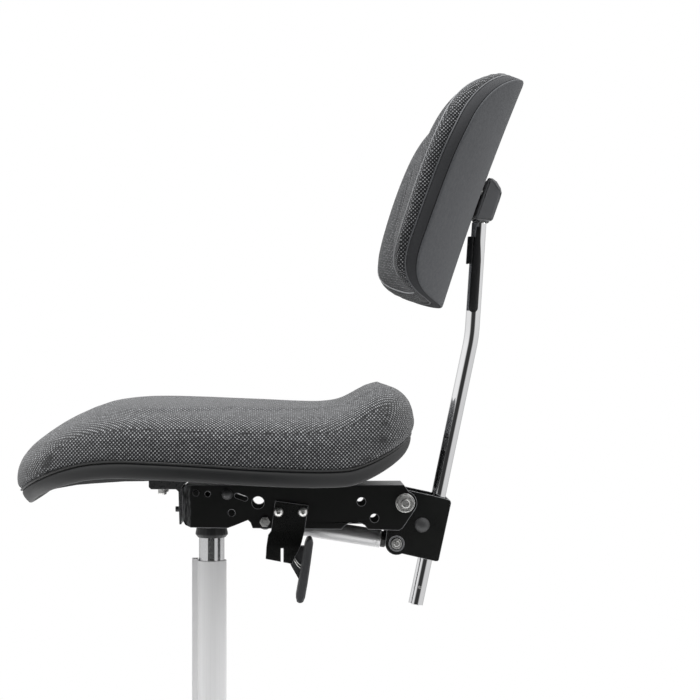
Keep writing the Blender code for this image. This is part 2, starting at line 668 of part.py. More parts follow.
def make_tilt_lever():
    """Paddle that hangs under the channel, with two ribs to its hub."""
    lever = prism("tilt_lever", [
        (104.0, 357.5), (106.4, 359.9), (109.4, 358.6), (111.0, 354.5), (108.2, 333), (104.9, 311),
        (102.2, 296), (100.2, 291.6), (96.8, 289.6), (93.4, 291.8), (92.4, 296.5), (96.2, 318),
        (99.6, 340), (102.2, 353),
    ], -58, -22)
    soften(lever, 3.0, 1, 60.0)
    hub = rod("lever_hub", (TILT_LEVER_PIN[0], -40.2, TILT_LEVER_PIN[1]),
              (TILT_LEVER_PIN[0], -24, TILT_LEVER_PIN[1]), 6.4, 18)
    join(lever, hub)
    for name, low, high in (("near", -39.4, -36.6), ("far", -28.0, -25.2)):
        rib = prism(f"lever_rib_{name}", [
            (84, 347.0), (90, 348.6), (101.8, 349), (103.6, 345), (98.2, 316), (95.4, 314), (88, 327),
            (83, 337.0),
        ], low, high)
        join(lever, rib)
    cut(lever, rod("lever_bore", (TILT_LEVER_PIN[0], -45, TILT_LEVER_PIN[1]),
                   (TILT_LEVER_PIN[0], -20, TILT_LEVER_PIN[1]), 3.2, 14))
    finish_part(lever, PLASTIC_GREY, TILT_LEVER)


def make_height_lever():
    """Bent bar across the channel, its finger above the release button, and its grip."""
    x, z = LEVER_SHAFT
    path = rounded_path([(x, -34.5, z), (x, 50, z), (-66, 98, 404.6), (-68, 196, 404)], 20.0)
    lever = bent_bar("height_lever", path, 3.0)
    finger = box("lever_finger", (x - 1, -5, z - 0.7), (6, 5, z + 2.3))
    join(lever, finger)
    finish_part(lever, STEEL_BLACK, HEIGHT_LEVER)
    grip = box("height_lever_grip", (-75, 128, 399.4), (-61, 204, 408.6))
    soften(grip, 3.0, 1, 60.0)
    cut(grip, rod("grip_bore", (-67, 120, 404.4), (-68.0, 197.5, 404), 3.5, 14))
    finish_part(grip, PLASTIC_BLACK, HEIGHT_LEVER)


# ---------------------------------------------------------------- tilt bracket, spring and rod clamp
def make_tilt_bracket():
    """Box bracket inside the channel's sides: two plates joined by a folded rear wall."""
    outline = [(213.8, 409), (240, 403.4), (257.5, 399.0), (260.2, 397.6), (260.9, 394.8), (247.5, 333.2),
               (246.2, 331.9), (243.5, 331.9)]
    outline += arc_points(SPRING_REAR_PIN, 12.4, -62.0, -178.0, 7)
    outline += [(191.2, 366.6), (199.5, 384), (199.2, 401)]
    holes = [
        circle_points(TILT_PIVOT, PIVOT_BOLT_RADIUS + GAP),
        circle_points(SPRING_REAR_PIN, 3.3, 12),
        circle_points(CLAMP_BOLT, 4.3, 12),
    ]
    bracket = prism("tilt_bracket", outline, -BRACKET_HALF_WIDTH, BRACKET_HALF_WIDTH, holes)
    inner = BRACKET_HALF_WIDTH - BRACKET_WALL
    hollow = prism("bracket_hollow", [
        (180, 425), (180, 320), (241.7, 320), (244.4, 333), (257.8, 396.0), (263.9, 425),
    ], -inner, inner)
    cut(bracket, hollow)
    for side, sign in (("near", -1), ("far", 1)):
        outer_face = sign * BRACKET_HALF_WIDTH
        recess = ring(f"pin_recess_{side}", (SPRING_REAR_PIN[0], outer_face - sign * 0.8, SPRING_REAR_PIN[1]),
                      (0, sign, 0), 7.4, 8.4, 4, 16)
        cut(bracket, recess)
    finish_part(bracket, STEEL_BLACK, TILT)


def make_rod_clamp():
    """Split guide block round the backrest rod, and the bolt and knob that clamp it."""
    lean = math.atan2(ROD_BEND[0] - ROD_BOTTOM[0], ROD_BEND[1] - ROD_BOTTOM[1])
    up = Vector((math.sin(lean), 0, math.cos(lean)))
    bolt = Vector((CLAMP_BOLT[0], 0, CLAMP_BOLT[1]))
    foot = Vector((ROD_BOTTOM[0], 0, ROD_BOTTOM[1]))
    along = (bolt - foot).dot(up)
    centre = foot + up * along
    reach = BRACKET_HALF_WIDTH - BRACKET_WALL - 0.4
    block = box("rod_guide", (-19.0, -reach, -23), (9.0, reach, 23))
    block.matrix_basis = Matrix.Translation(centre * MM) @ Matrix.Rotation(lean, 4, "Y")
    slit = box("rod_guide_slit", (-25, -1.0, -30), (0, 1.0, 30))
    slit.matrix_basis = block.matrix_basis.copy()
    cut(block, rod("rod_guide_bore", centre - up * 30, centre + up * 30, ROD_RADIUS + 0.25, 20), slit)
    cut(block, rod("rod_guide_cross_hole", bolt + Vector((0, -40, 0)), bolt + Vector((0, 40, 0)), 4.3, 14))
    finish_part(block, PLASTIC_BLACK, TILT)

    clamp_bolt = turned("clamp_bolt", [
        (0, 83), (3.6, 82.9), (6.6, 81.8), (8.25, 79.7), (3.99, 79.7), (3.99, 0), (0, 0),
    ], (CLAMP_BOLT[0], 51, CLAMP_BOLT[1]), (0, -1, 0), 16, closed=False)
    finish_part(clamp_bolt, STEEL_BLACK, TILT)
    lobes = []
    for i in range(30):
        angle = 2.0 * math.pi * i / 30
        radius = 14.5 + 2.0 * math.cos(6.0 * angle)
        lobes.append((CLAMP_BOLT[0] + radius * math.cos(angle), CLAMP_BOLT[1] + radius * math.sin(angle)))
    knob = prism("clamp_knob", lobes, 36, 54)
    join(knob, rod("knob_hub", (CLAMP_BOLT[0], 29.0, CLAMP_BOLT[1]), (CLAMP_BOLT[0], 40, CLAMP_BOLT[1]), 7.5, 16))
    cut(knob, rod("knob_bore", (CLAMP_BOLT[0], 20, CLAMP_BOLT[1]), (CLAMP_BOLT[0], 51.4, CLAMP_BOLT[1]), 4.3, 14))
    finish_part(knob, PLASTIC_BLACK, KNOB)


def make_tilt_spring():
    """Gas spring between the bracket's lobe and the channel's front bolt."""
    rear = Vector((SPRING_REAR_PIN[0], 0, SPRING_REAR_PIN[1]))
    front = Vector((SPRING_FRONT_EYE[0], 0, SPRING_FRONT_EYE[1]))
    along = (front - rear).normalized()
    length = (front - rear).length

    pin = rod("spring_rear_pin", (rear.x, -31.0, rear.z), (rear.x, 31.0, rear.z), 2.99, 12)
    for side, low, high in (("near", -29.9, -28.8), ("far", 28.8, 29.9)):
        join(pin, rod(f"star_washer_{side}", (rear.x, low, rear.z), (rear.x, high, rear.z), 5.8, 12))
    finish_part(pin, ZINC, TILT)

    rear_eye = rod("spring_rear_eye", (rear.x, -7, rear.z), (rear.x, 7, rear.z), 7.4, 18)
    join(rear_eye, turned("spring_plug", [
        (0, 26), (7.9, 26), (7.9, 16.0), (8.9, 15.7), (8.9, 11), (6.0, 9), (6.0, 2), (0, 2),
    ], rear, along, 16, closed=False))
    cut(rear_eye, rod("rear_eye_bore", (rear.x, -9, rear.z), (rear.x, 9, rear.z), 3.3, 14))
    finish_part(rear_eye, STEEL_BLACK, SPRING)
    cylinder = turned("spring_cylinder", [
        (9.0, 104), (10.0, 102.8), (10.0, 17.3), (9.3, 16.3), (8.3, 16.3), (8.3, 101), (4.25, 101), (4.25, 104),
    ], rear, along, 20)
    finish_part(cylinder, SATIN_STEEL, SPRING)

    piston = turned("spring_rod", [
        (0, 136.4), (4.0, 136.4), (4.0, 66), (6.7, 66), (6.7, 58), (0, 58),
    ], rear, along, 16, closed=False)
    finish_part(piston, CHROME, SPRING_ROD)
    front_eye = rod("spring_front_eye", (front.x, -8, front.z), (front.x, 8, front.z), 9.0, 18)
    join(front_eye, turned("spring_eye_neck", [
        (0, 140), (6.2, 140), (6.2, 127), (5.6, 126), (0, 126),
    ], rear, along, 16, closed=False))
    cut(front_eye, rod("spring_eye_socket", rear + along * 120, rear + along * 136.8, 4.3, 14))
    cut(front_eye, rod("front_eye_bore", (front.x, -10, front.z), (front.x, 10, front.z), 5.7, 16))
    finish_part(front_eye, STEEL_BLACK, SPRING_ROD)


# ---------------------------------------------------------------- backrest rod and joint
def rod_axis_x(height):
    """X of the backrest rod's axis at a height, on its lower or upper length."""
    low, high = (ROD_BOTTOM, ROD_BEND) if height < ROD_BEND[1] else (ROD_BEND, ROD_TOP)
    return low[0] + (height - low[1]) * (high[0] - low[0]) / (high[1] - low[1])


def sector(name, inner, outer, start, end, length):
    """Part of a tube's wall, standing on the origin."""
    outline = arc_points((0, 0), outer, start, end, 7) + arc_points((0, 0), inner, end, start, 7)
    return prism(name, outline, 0, length, plane="XY")


def make_backrest_rod():
    """Bent chromed rod, its stop pin, and the strip and button near its top."""
    path = rounded_path([(x, 0, z) for x, z in (ROD_BOTTOM, ROD_BEND, ROD_TOP)], 30.0, 4)
    post = bent_bar("backrest_rod", path, ROD_RADIUS, 5)
    stop_x = rod_axis_x(ROD_STOP_HEIGHT)
    cut(post, rod("stop_pin_hole", (stop_x, -12, ROD_STOP_HEIGHT), (stop_x, 12, ROD_STOP_HEIGHT), 2.3, 12))
    top = Vector((ROD_TOP[0], 0, ROD_TOP[1]))
    lean = math.atan2(ROD_TOP[0] - ROD_BEND[0], ROD_TOP[1] - ROD_BEND[1])
    up = Vector((math.sin(lean), 0, math.cos(lean)))
    cut(post, rod("rod_top_socket", top - up * 14, top + up * 4, 4.3, 14))
    finish_part(post, CHROME, POST)
    pin = rod("rod_stop_pin", (stop_x, -9.6, ROD_STOP_HEIGHT), (stop_x, 9.6, ROD_STOP_HEIGHT), 2.0, 12)
    finish_part(pin, ZINC, POST)

    lug = rod("rod_head_lug", (PAD_PIVOT[0], -4, PAD_PIVOT[1]), (PAD_PIVOT[0], 4, PAD_PIVOT[1]), 7.5, 16)
    neck = prism("lug_neck", [
        (ROD_TOP[0] - 4.5, ROD_TOP[1] + 0.4), (ROD_TOP[0] + 5.5, ROD_TOP[1] + 0.4),
        (PAD_PIVOT[0] + 6.5, PAD_PIVOT[1] - 1), (PAD_PIVOT[0] - 6.5, PAD_PIVOT[1] + 2),
    ], -3.6, 3.6)
    join(lug, neck, rod("lug_shank", top - up * 13, top + up * 3, 4.0, 14))
    cut(lug, rod("lug_bore", (PAD_PIVOT[0], -9, PAD_PIVOT[1]), (PAD_PIVOT[0], 9, PAD_PIVOT[1]), 3.25, 14))
    finish_part(lug, ZINC, POST)

    lean_matrix = Matrix.Rotation(lean, 4, "Y")
    strip = sector("rod_strip", ROD_RADIUS + 0.3, ROD_RADIUS + 1.0, 228, 296, 94)
    strip.matrix_basis = (Matrix.Translation(Vector((rod_axis_x(602.0), 0, 602.0)) * MM)
                          @ lean_matrix @ strip.matrix_basis)
    finish_part(strip, PLASTIC_BLACK, POST)
    button = sector("rod_button", ROD_RADIUS + 2.2, ROD_RADIUS + 3.6, 150, 236, 30)
    button.matrix_basis = (Matrix.Translation(Vector((rod_axis_x(655.0), 0, 655.0)) * MM)
                           @ lean_matrix @ button.matrix_basis)
    finish_part(button, PLASTIC_BLACK, STRIP_BUTTON)


def pad_point(v, y, d):
    """World place of a point given up the pad, across it, and forward of its rear face."""
    sine, cosine = math.sin(PAD_LEAN), math.cos(PAD_LEAN)
    return (PAD_CENTRE[0] + v * sine - d * cosine, y, PAD_CENTRE[1] + v * cosine + d * sine)


def make_pad_joint():
    """Housing behind the pad, its cross pin and the two screws into the shell."""
    housing = prism("joint_housing", [
        (287.3, 705.6), (301.8, 747.2), (303.6, 748.2), (306.2, 747.6), (310.8, 743.8), (314.8, 737.0),
        (316.0, 732.0), (313.8, 724.4), (306.8, 703.4), (304.8, 702.0), (289.4, 703.6),
    ], -21, 21)
    soften(housing, 2.4, 1, 30.0)
    slot = prism("housing_slot", [
        (280, 690), (309.4, 690), (310.8, 720), (309, 729.5), (303, 732.5), (296, 732), (291.5, 722), (284, 705),
    ], -4.6, 4.6)
    mouth = rod("housing_mouth", (292.5, 0, 690), (293.6, 0, 704.6), 10.6, 18)
    x, z = PAD_PIVOT
    cut(housing, slot, mouth, rod("pin_hole", (x, -19, z), (x, 30, z), 3.3, 14))
    forward = Vector((-math.cos(PAD_LEAN), 0, math.sin(PAD_LEAN)))
    for side, y in (("left", -13), ("right", 13)):
        head = Vector((314.6, y, 726.5))
        cut(housing, rod(f"screw_hole_{side}", head - forward * 6, head + forward * 40, 2.4, 12))
        cut(housing, rod(f"screw_recess_{side}", head - forward * 6, head + forward * 5, 4.6, 14))
        screw = turned(f"housing_screw_{side}", [
            (0, 26.5), (2.0, 26.5), (2.0, 4.6), (4.2, 4.6), (4.2, 2.6), (2.6, 1.4), (0, 1.4),
        ], head, forward, 12, closed=False)
        finish_part(screw, ZINC, PAD)
    finish_part(housing, PLASTIC_BLACK, PAD)
    pin = rod("pad_pivot_pin", (x, -18.6, z), (x, 20.4, z), 3.0, 14)
    finish_part(pin, ZINC, PAD)


# ---------------------------------------------------------------- backrest pad
def pad_outline(angle, inset=0.0):
    """Edge of the pad at an angle round it, as (v, y)."""
    across, up = math.cos(angle), math.sin(angle)
    power = PAD_SQUARENESS_TOP if up > 0 else PAD_SQUARENESS_BOTTOM
    half_width = PAD_HALF_WIDTH - inset
    half_height = PAD_HALF_HEIGHT - inset
    reach = (abs(across / half_width) ** power + abs(up / half_height) ** power) ** (-1.0 / power)
    return reach * up, reach * across


def pad_rear(v, y):
    """Depth of the pad's rear face: it wraps forward at the sides and bows at the waist."""
    wrap = curve_value(PAD_WRAP, v) * (y / PAD_HALF_WIDTH) ** 2
    return wrap + PAD_BOW * (1.0 - (v / PAD_HALF_HEIGHT) ** 2)


def pad_front(v, y):
    """Depth of the cushion's crest: two wings stand forward of the middle."""
    middle = curve_value(PAD_MIDDLE_DEPTH, v)
    return middle + (curve_value(PAD_WING_DEPTH, v) - middle) * ease(50.0, 165.0, abs(y))


def pad_ring(scale, depth, inset=0.0):
    """One ring of points round the pad; depth is added to the rear face."""
    points = []
    for i in range(PAD_AROUND):
        angle = 2.0 * math.pi * i / PAD_AROUND
        v, y = pad_outline(angle, inset)
        points.append(pad_point(v * scale, y * scale, pad_rear(v * scale, y * scale) + depth))
    return points


def make_back_shell():
    """Moulded rear shell, thin at its edge."""
    rings = [pad_ring(s, 0.0) for s in RING_SCALES] + [pad_ring(1.0, 0.0), pad_ring(1.0, 2.0)]
    rings += [pad_ring(s, 5.5) for s in reversed(RING_SCALES)]
    shell = loft("back_shell", rings, pad_point(0, 0, PAD_BOW), pad_point(0, 0, PAD_BOW + 5.5))
    forward = Vector((-math.cos(PAD_LEAN), 0, math.sin(PAD_LEAN)))
    for side, y in (("left", -13), ("right", 13)):
        head = Vector((314.6, y, 726.5))
        cut(shell, rod(f"shell_screw_hole_{side}", head + forward * 10, head + forward * 29, 2.4, 12))
    finish_part(shell, SHELL_GREY, PAD)


def make_back_rim():
    """Dark band round the pad between its shell and its upholstery."""
    rings = [pad_ring(1.0, 2.8), pad_ring(1.0, 13.0), pad_ring(1.0, 13.4, 1.0), pad_ring(1.0, 13.4, 7.0),
             pad_ring(1.0, 6.2, 7.0)]
    band = loft("backrest_rim", rings)
    finish_part(band, RUBBER_BLACK, PAD)


def make_back_cushion():
    """Upholstered front: belly over the band, then up to the crest of each wing."""
    rings = [pad_ring(s, 7.4) for s in RING_SCALES]
    rings += [pad_ring(1.0, 7.4, 8.5), pad_ring(1.0, 14.2, 8.2), pad_ring(1.0, 14.2, 0.5)]
    base_depth = 22.0
    for step in (0, 14, 28, 42, 56, 68, 78, 85):
        beta = math.radians(step)
        scale = math.cos(beta) ** (2.0 / 4.0) * 1.012
        row = []
        for i in range(PAD_AROUND):
            v, y = pad_outline(2.0 * math.pi * i / PAD_AROUND)
            base = pad_rear(v, y) + base_depth
            inner_v, inner_y = v * scale, y * scale
            depth = base + (pad_front(inner_v, inner_y) - base) * math.sin(beta)
            row.append(pad_point(inner_v, inner_y, depth))
        rings.append(row)
    cushion = loft("backrest_cushion", rings, pad_point(0, 0, PAD_BOW + 7.4), pad_point(0, 0, pad_front(0, 0)))
    finish_part(cushion, TWEED, PAD)


# ---------------------------------------------------------------- seat
def seat_edge(angle):
    """Point of the trim's centre line, its outward direction, up direction and height."""
    across, side = math.cos(angle), math.sin(angle)
    length = SEAT_REAR_LENGTH if across > 0 else SEAT_FRONT_LENGTH
    power = SEAT_SQUARENESS
    reach = (abs(across / length) ** power + abs(side / SEAT_HALF_WIDTH) ** power) ** (-1.0 / power)
    x, y = reach * across, reach * side
    height = curve_value(EDGE_HEIGHTS, SEAT_CENTRE_X + x)
    tilt = math.radians(33.0 * ease(-120.0, -200.0, x) + 12.0 * ease(150.0, 205.0, x))
    notch = SEAT_NOTCH_DEPTH * math.exp(-(y / SEAT_NOTCH_WIDTH) ** 2) if across > 0 else 0.0
    normal = Vector((
        abs(x / length) ** (power - 1) / length * (1 if x > 0 else -1),
        abs(y / SEAT_HALF_WIDTH) ** (power - 1) / SEAT_HALF_WIDTH * (1 if y > 0 else -1),
        0.0,
    )).normalized()
    place = Vector((SEAT_CENTRE_X + x - notch, y, height))
    up = normal * math.sin(tilt) + Vector((0, 0, math.cos(tilt)))
    out = normal * math.cos(tilt) - Vector((0, 0, math.sin(tilt)))
    return place, out, up


def seat_edge_ring(out_by, up_by):
    """A ring of points at an offset from the trim's centre line."""
    points = []
    for i in range(SEAT_AROUND):
        place, out, up = seat_edge(2.0 * math.pi * i / SEAT_AROUND)
        points.append(place + out * out_by + up * up_by)
    return points


def seat_shell_ring(scale, inset, above):
    """A ring of the shell's surface, in from the edge and above its middle."""
    points = []
    for i in range(SEAT_AROUND):
        place, _, _ = seat_edge(2.0 * math.pi * i / SEAT_AROUND)
        flat = Vector((place.x - SEAT_CENTRE_X, place.y, 0.0))
        flat = flat.normalized() * (flat.length - inset) * scale
        share = flat.length / math.hypot(place.x - SEAT_CENTRE_X, place.y)
        sideways = (flat.y / flat.length) ** 2
        height = SHELL_MIDDLE + (place.z - SHELL_MIDDLE) * share ** (5.0 - 3.0 * sideways)
        points.append((SEAT_CENTRE_X + flat.x, flat.y, height + above))
    return points


def make_seat_shell():
    """Moulded pan under the cushion, dished at the rear and turned down at the front."""
    scales = RING_SCALES + [1.0]
    rings = [seat_shell_ring(s, 7.5, -SHELL_HALF_THICKNESS) for s in scales]
    rings += [seat_shell_ring(s, 7.5, SHELL_HALF_THICKNESS) for s in reversed(scales)]
    shell = loft("seat_shell", rings, (SEAT_CENTRE_X, 0, SHELL_MIDDLE - SHELL_HALF_THICKNESS),
                 (SEAT_CENTRE_X, 0, SHELL_MIDDLE + SHELL_HALF_THICKNESS))
    for end, x in (("front", -53), ("rear", 120)):
        for side, y in (("left", -18), ("right", 18)):
            cut(shell, rod(f"shell_hole_{end}_{side}", (x, y, 415), (x, y, 430), 3.3, 12))
    finish_part(shell, PLASTIC_BLACK, SEAT)


def make_seat_trim():
    """Rubber edging round the seat, between the shell and the upholstery."""
    section = [(3.4, -7.6), (4.4, -1.0), (4.4, 4.0), (3.2, 8.2), (1.0, TRIM_HALF_HEIGHT), (-2.0, TRIM_HALF_HEIGHT),
               (-3.4, 7.6), (-3.4, -7.6), (-1.8, -TRIM_HALF_HEIGHT), (1.8, -TRIM_HALF_HEIGHT)]
    trim = loft("seat_trim", [seat_edge_ring(out_by, up_by) for out_by, up_by in section])
    finish_part(trim, RUBBER_BLACK, SEAT)


def make_seat_cushion():
    """Upholstery: a belly over the trim, a waterfall front and a raised rear."""
    rings = [seat_shell_ring(s, 7.5, SHELL_HALF_THICKNESS + 2.6) for s in RING_SCALES]
    rings.append(seat_shell_ring(1.0, 11.0, SHELL_HALF_THICKNESS + 3.2))
    rings += [seat_edge_ring(-3.4, 9.8), seat_edge_ring(2.6, 9.8)]
    belly = [place + out * (5.0 - 4.5 * ease(-120.0, -200.0, place.x)) + up * 24.0
             for place, out, up in (seat_edge(2.0 * math.pi * i / SEAT_AROUND) for i in range(SEAT_AROUND))]
    rings.append(belly)
    for scale in CUSHION_SCALES:
        row = []
        for point in belly:
            rearward = max(point.x - SEAT_CENTRE_X, 0.0) / SEAT_REAR_LENGTH
            share = math.sqrt(1.0 - scale ** (4.6 + 6.4 * rearward ** 2))
            x = SEAT_CENTRE_X + (point.x - SEAT_CENTRE_X) * scale
            crest = curve_value(CREST_HEIGHTS, x)
            row.append((x, point.y * scale, point.z + (crest - point.z) * share))
        rings.append(row)
    cushion = loft("seat_cushion", rings, (SEAT_CENTRE_X, 0, SHELL_MIDDLE + SHELL_HALF_THICKNESS + 2.6),
                   (SEAT_CENTRE_X, 0, curve_value(CREST_HEIGHTS, SEAT_CENTRE_X)))
    finish_part(cushion, TWEED, SEAT)


make_star_base()
make_glides()
make_column()
make_cone_socket()
make_channel()
make_seat_mounting()
make_pivot()
make_spring_fasteners()
make_lever_bracket()
make_tilt_lever()
make_height_lever()
make_tilt_bracket()
make_rod_clamp()
make_tilt_spring()
make_backrest_rod()
make_pad_joint()
make_back_shell()
make_back_rim()
make_back_cushion()
make_seat_shell()
make_seat_trim()
make_seat_cushion()
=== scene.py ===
"""Looks of the drum throne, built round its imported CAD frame."""
import json
import math

import bmesh
import bpy
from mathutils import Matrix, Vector
from mathutils.bvhtree import BVHTree


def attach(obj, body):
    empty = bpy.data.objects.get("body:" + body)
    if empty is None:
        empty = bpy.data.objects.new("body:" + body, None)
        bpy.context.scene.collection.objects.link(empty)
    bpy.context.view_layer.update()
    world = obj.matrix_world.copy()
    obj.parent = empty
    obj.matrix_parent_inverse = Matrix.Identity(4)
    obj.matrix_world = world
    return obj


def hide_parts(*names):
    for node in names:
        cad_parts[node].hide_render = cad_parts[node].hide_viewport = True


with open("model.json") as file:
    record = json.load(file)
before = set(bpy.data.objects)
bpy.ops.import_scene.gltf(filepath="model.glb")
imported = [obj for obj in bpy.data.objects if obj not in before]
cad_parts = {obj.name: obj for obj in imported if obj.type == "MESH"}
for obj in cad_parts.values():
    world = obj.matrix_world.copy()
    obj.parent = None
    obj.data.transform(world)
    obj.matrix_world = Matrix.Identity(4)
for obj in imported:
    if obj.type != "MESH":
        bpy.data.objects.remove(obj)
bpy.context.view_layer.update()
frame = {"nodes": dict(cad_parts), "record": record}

MM = 0.001
NODES = frame["nodes"]
BODY_OF = {n: b for b, members in frame["record"]["behaviour"]["bodies"].items() for n in members}
SLOT_OF = {s["node"]: s["material_slot"] for s in frame["record"]["subparts"]}
SCENE = bpy.context.scene
SCENE.view_settings.view_transform = "Standard"

# ---------------------------------------------------------------- camera, world and lights
CAMERA_DISTANCE = 2.0
CAMERA_X = 0.0861
CAMERA_HEIGHT = 0.561
CAMERA_SHIFT = 0.0857
FRAME_WIDTH = 0.77


def make_camera():
    """Level camera square to the throne's side, shifted sideways like the photo's."""
    data = bpy.data.cameras.new("camera")
    data.sensor_width = 36.0
    data.lens = data.sensor_width * CAMERA_DISTANCE / FRAME_WIDTH
    data.shift_x = CAMERA_SHIFT
    data.clip_start = 0.05
    data.clip_end = 50.0
    camera = bpy.data.objects.new("camera", data)
    camera.location = (CAMERA_X, -CAMERA_DISTANCE, CAMERA_HEIGHT)
    camera.rotation_euler = (math.radians(90.0), 0.0, 0.0)
    SCENE.collection.objects.link(camera)
    return camera


SCENE.camera = make_camera()


class Nodes:
    """Short way to build a node tree."""

    def __init__(self, tree):
        self.tree = tree

    def add(self, kind, inputs=None, **settings):
        """New node with its settings, and its inputs given as links or constants."""
        node = self.tree.nodes.new(kind)
        for key, value in settings.items():
            setattr(node, key, value)
        for key, value in (inputs or {}).items():
            self.put(node.inputs[key], value)
        return node

    def put(self, socket, value):
        if isinstance(value, bpy.types.NodeSocket):
            self.tree.links.new(value, socket)
        else:
            socket.default_value = value

    def link(self, output, node, socket):
        self.tree.links.new(output, node.inputs[socket])

    def math(self, operation, a, b=0.0):
        return self.add("ShaderNodeMath", {0: a, 1: b}, operation=operation).outputs[0]

    def ramp(self, value, low, high, out_low=0.0, out_high=1.0):
        """Smooth step from out_low to out_high while the value goes from low to high."""
        node = self.add("ShaderNodeMapRange", {
            "Value": value, "From Min": low, "From Max": high, "To Min": out_low, "To Max": out_high,
        }, interpolation_type="SMOOTHSTEP")
        return node.outputs["Result"]

    def mix(self, factor, a, b):
        node = self.add("ShaderNodeMix", data_type="RGBA")
        self.put(node.inputs[0], factor)
        self.put(node.inputs[6], a)
        self.put(node.inputs[7], b)
        return node.outputs[2]

    def noise(self, vector, scale, detail=3.0, roughness=0.5):
        node = self.add("ShaderNodeTexNoise", {
            "Vector": vector, "Scale": scale, "Detail": detail, "Roughness": roughness,
        })
        return node.outputs["Fac"]


LIGHT_SIZE = 1.2


def make_world():
    """White room: bright all round and above, dark in a narrow part on the front side."""
    world = bpy.data.worlds.new("studio")
    world.use_nodes = True
    SCENE.world = world
    world.node_tree.nodes.clear()
    n = Nodes(world.node_tree)
    direction = n.add("ShaderNodeTexCoord").outputs["Generated"]
    parts = n.add("ShaderNodeSeparateXYZ", {0: direction})
    front = n.ramp(parts.outputs["Y"], -0.93, -0.72, 0.05, 1.0)
    behind = n.ramp(parts.outputs["Y"], 0.35, 0.95, 1.0, 0.72)
    height = n.ramp(parts.outputs["Z"], -0.25, 0.75, 0.62, 1.15)
    light = n.math("MULTIPLY", n.math("MULTIPLY", front, behind), height)
    seen = n.add("ShaderNodeLightPath").outputs["Is Camera Ray"]
    strength = n.math("ADD", n.math("MULTIPLY", light, n.math("SUBTRACT", 1.0, seen)), seen)
    background = n.add("ShaderNodeBackground", {"Color": (1.0, 1.0, 1.0, 1.0), "Strength": strength})
    n.link(background.outputs[0], n.add("ShaderNodeOutputWorld"), "Surface")


def area_light(name, place, target, power):
    """Round soft light aimed at a target."""
    data = bpy.data.lights.new(name, "AREA")
    data.shape = "DISK"
    data.size = LIGHT_SIZE
    data.energy = power
    light = bpy.data.objects.new(name, data)
    light.location = place
    light.rotation_euler = (Vector(target) - Vector(place)).to_track_quat("-Z", "Y").to_euler()
    SCENE.collection.objects.link(light)


make_world()
area_light("key_light", (-0.2, -0.2, 2.3), (0.0, 0.0, 0.45), 30.0)
area_light("rear_light", (0.9, 1.1, 1.9), (0.05, 0.0, 0.55), 10.0)


# ---------------------------------------------------------------- materials
def new_material(name, roughness, metallic=0.0, **sockets):
    """A Principled material, its node helper, its shader and its object coordinates."""
    material = bpy.data.materials.new(name)
    material.use_nodes = True
    n = Nodes(material.node_tree)
    shader = material.node_tree.nodes["Principled BSDF"]
    shader.inputs["Roughness"].default_value = roughness
    shader.inputs["Metallic"].default_value = metallic
    for key, value in sockets.items():
        shader.inputs[key.replace("_", " ")].default_value = value
    place = n.add("ShaderNodeTexCoord").outputs["Object"]
    return material, n, shader, place


def bump(n, shader, height, distance, strength=1.0):
    """Raise the surface by distance, in metres, where the height value is high."""
    node = n.add("ShaderNodeBump", {"Height": height, "Distance": distance, "Strength": strength})
    n.link(node.outputs["Normal"], shader, "Normal")


def scaled(colour, factor):
    """A colour times a factor, with its alpha."""
    return tuple(min(c * factor, 1.0) for c in colour) + (1.0,)


def plain_noise_material(name, colour, spread, scale, roughness, bump_depth, metallic=0.0,
                         roughness_spread=0.06, **sockets):
    """Even finish whose colour, gloss and surface vary with a fine and a broad noise."""
    material, n, shader, place = new_material(name, roughness, metallic, **sockets)
    fine = n.noise(place, scale, 4.0, 0.6)
    broad = n.noise(place, 22.0, 2.0)
    both = n.math("ADD", n.math("MULTIPLY", fine, 0.6), n.math("MULTIPLY", broad, 0.4))
    n.link(n.mix(both, scaled(colour, 1.0 - spread), scaled(colour, 1.0 + spread)), shader, "Base Color")
    gloss = n.ramp(both, 0.3, 0.7, roughness - roughness_spread, roughness + roughness_spread)
    n.link(gloss, shader, "Roughness")
    bump(n, shader, fine, bump_depth)
    return material


def brushed_material(name, colour, roughness, axis_scale, metallic=1.0):
    """Metal with fine lines; axis_scale stretches the noise along the part."""
    material, n, shader, place = new_material(name, roughness, metallic)
    stretched = n.add("ShaderNodeMapping", {"Vector": place, "Scale": axis_scale}).outputs["Vector"]
    lines = n.noise(stretched, 1.0, 3.0, 0.6)
    n.link(n.mix(lines, scaled(colour, 0.9), scaled(colour, 1.07)), shader, "Base Color")
    n.link(n.ramp(lines, 0.25, 0.75, roughness - 0.05, roughness + 0.07), shader, "Roughness")
    bump(n, shader, lines, 0.00002)
    return material


WEAVE_PITCH = 3.85 * MM
FACING_SHARPNESS = 16.0
# The channel's painted sheen: light grey streaks on the coat in front of these X places.
SHEEN_PAINT_START = -22.5 * MM
SHEEN_PAINT_END = -20.5 * MM


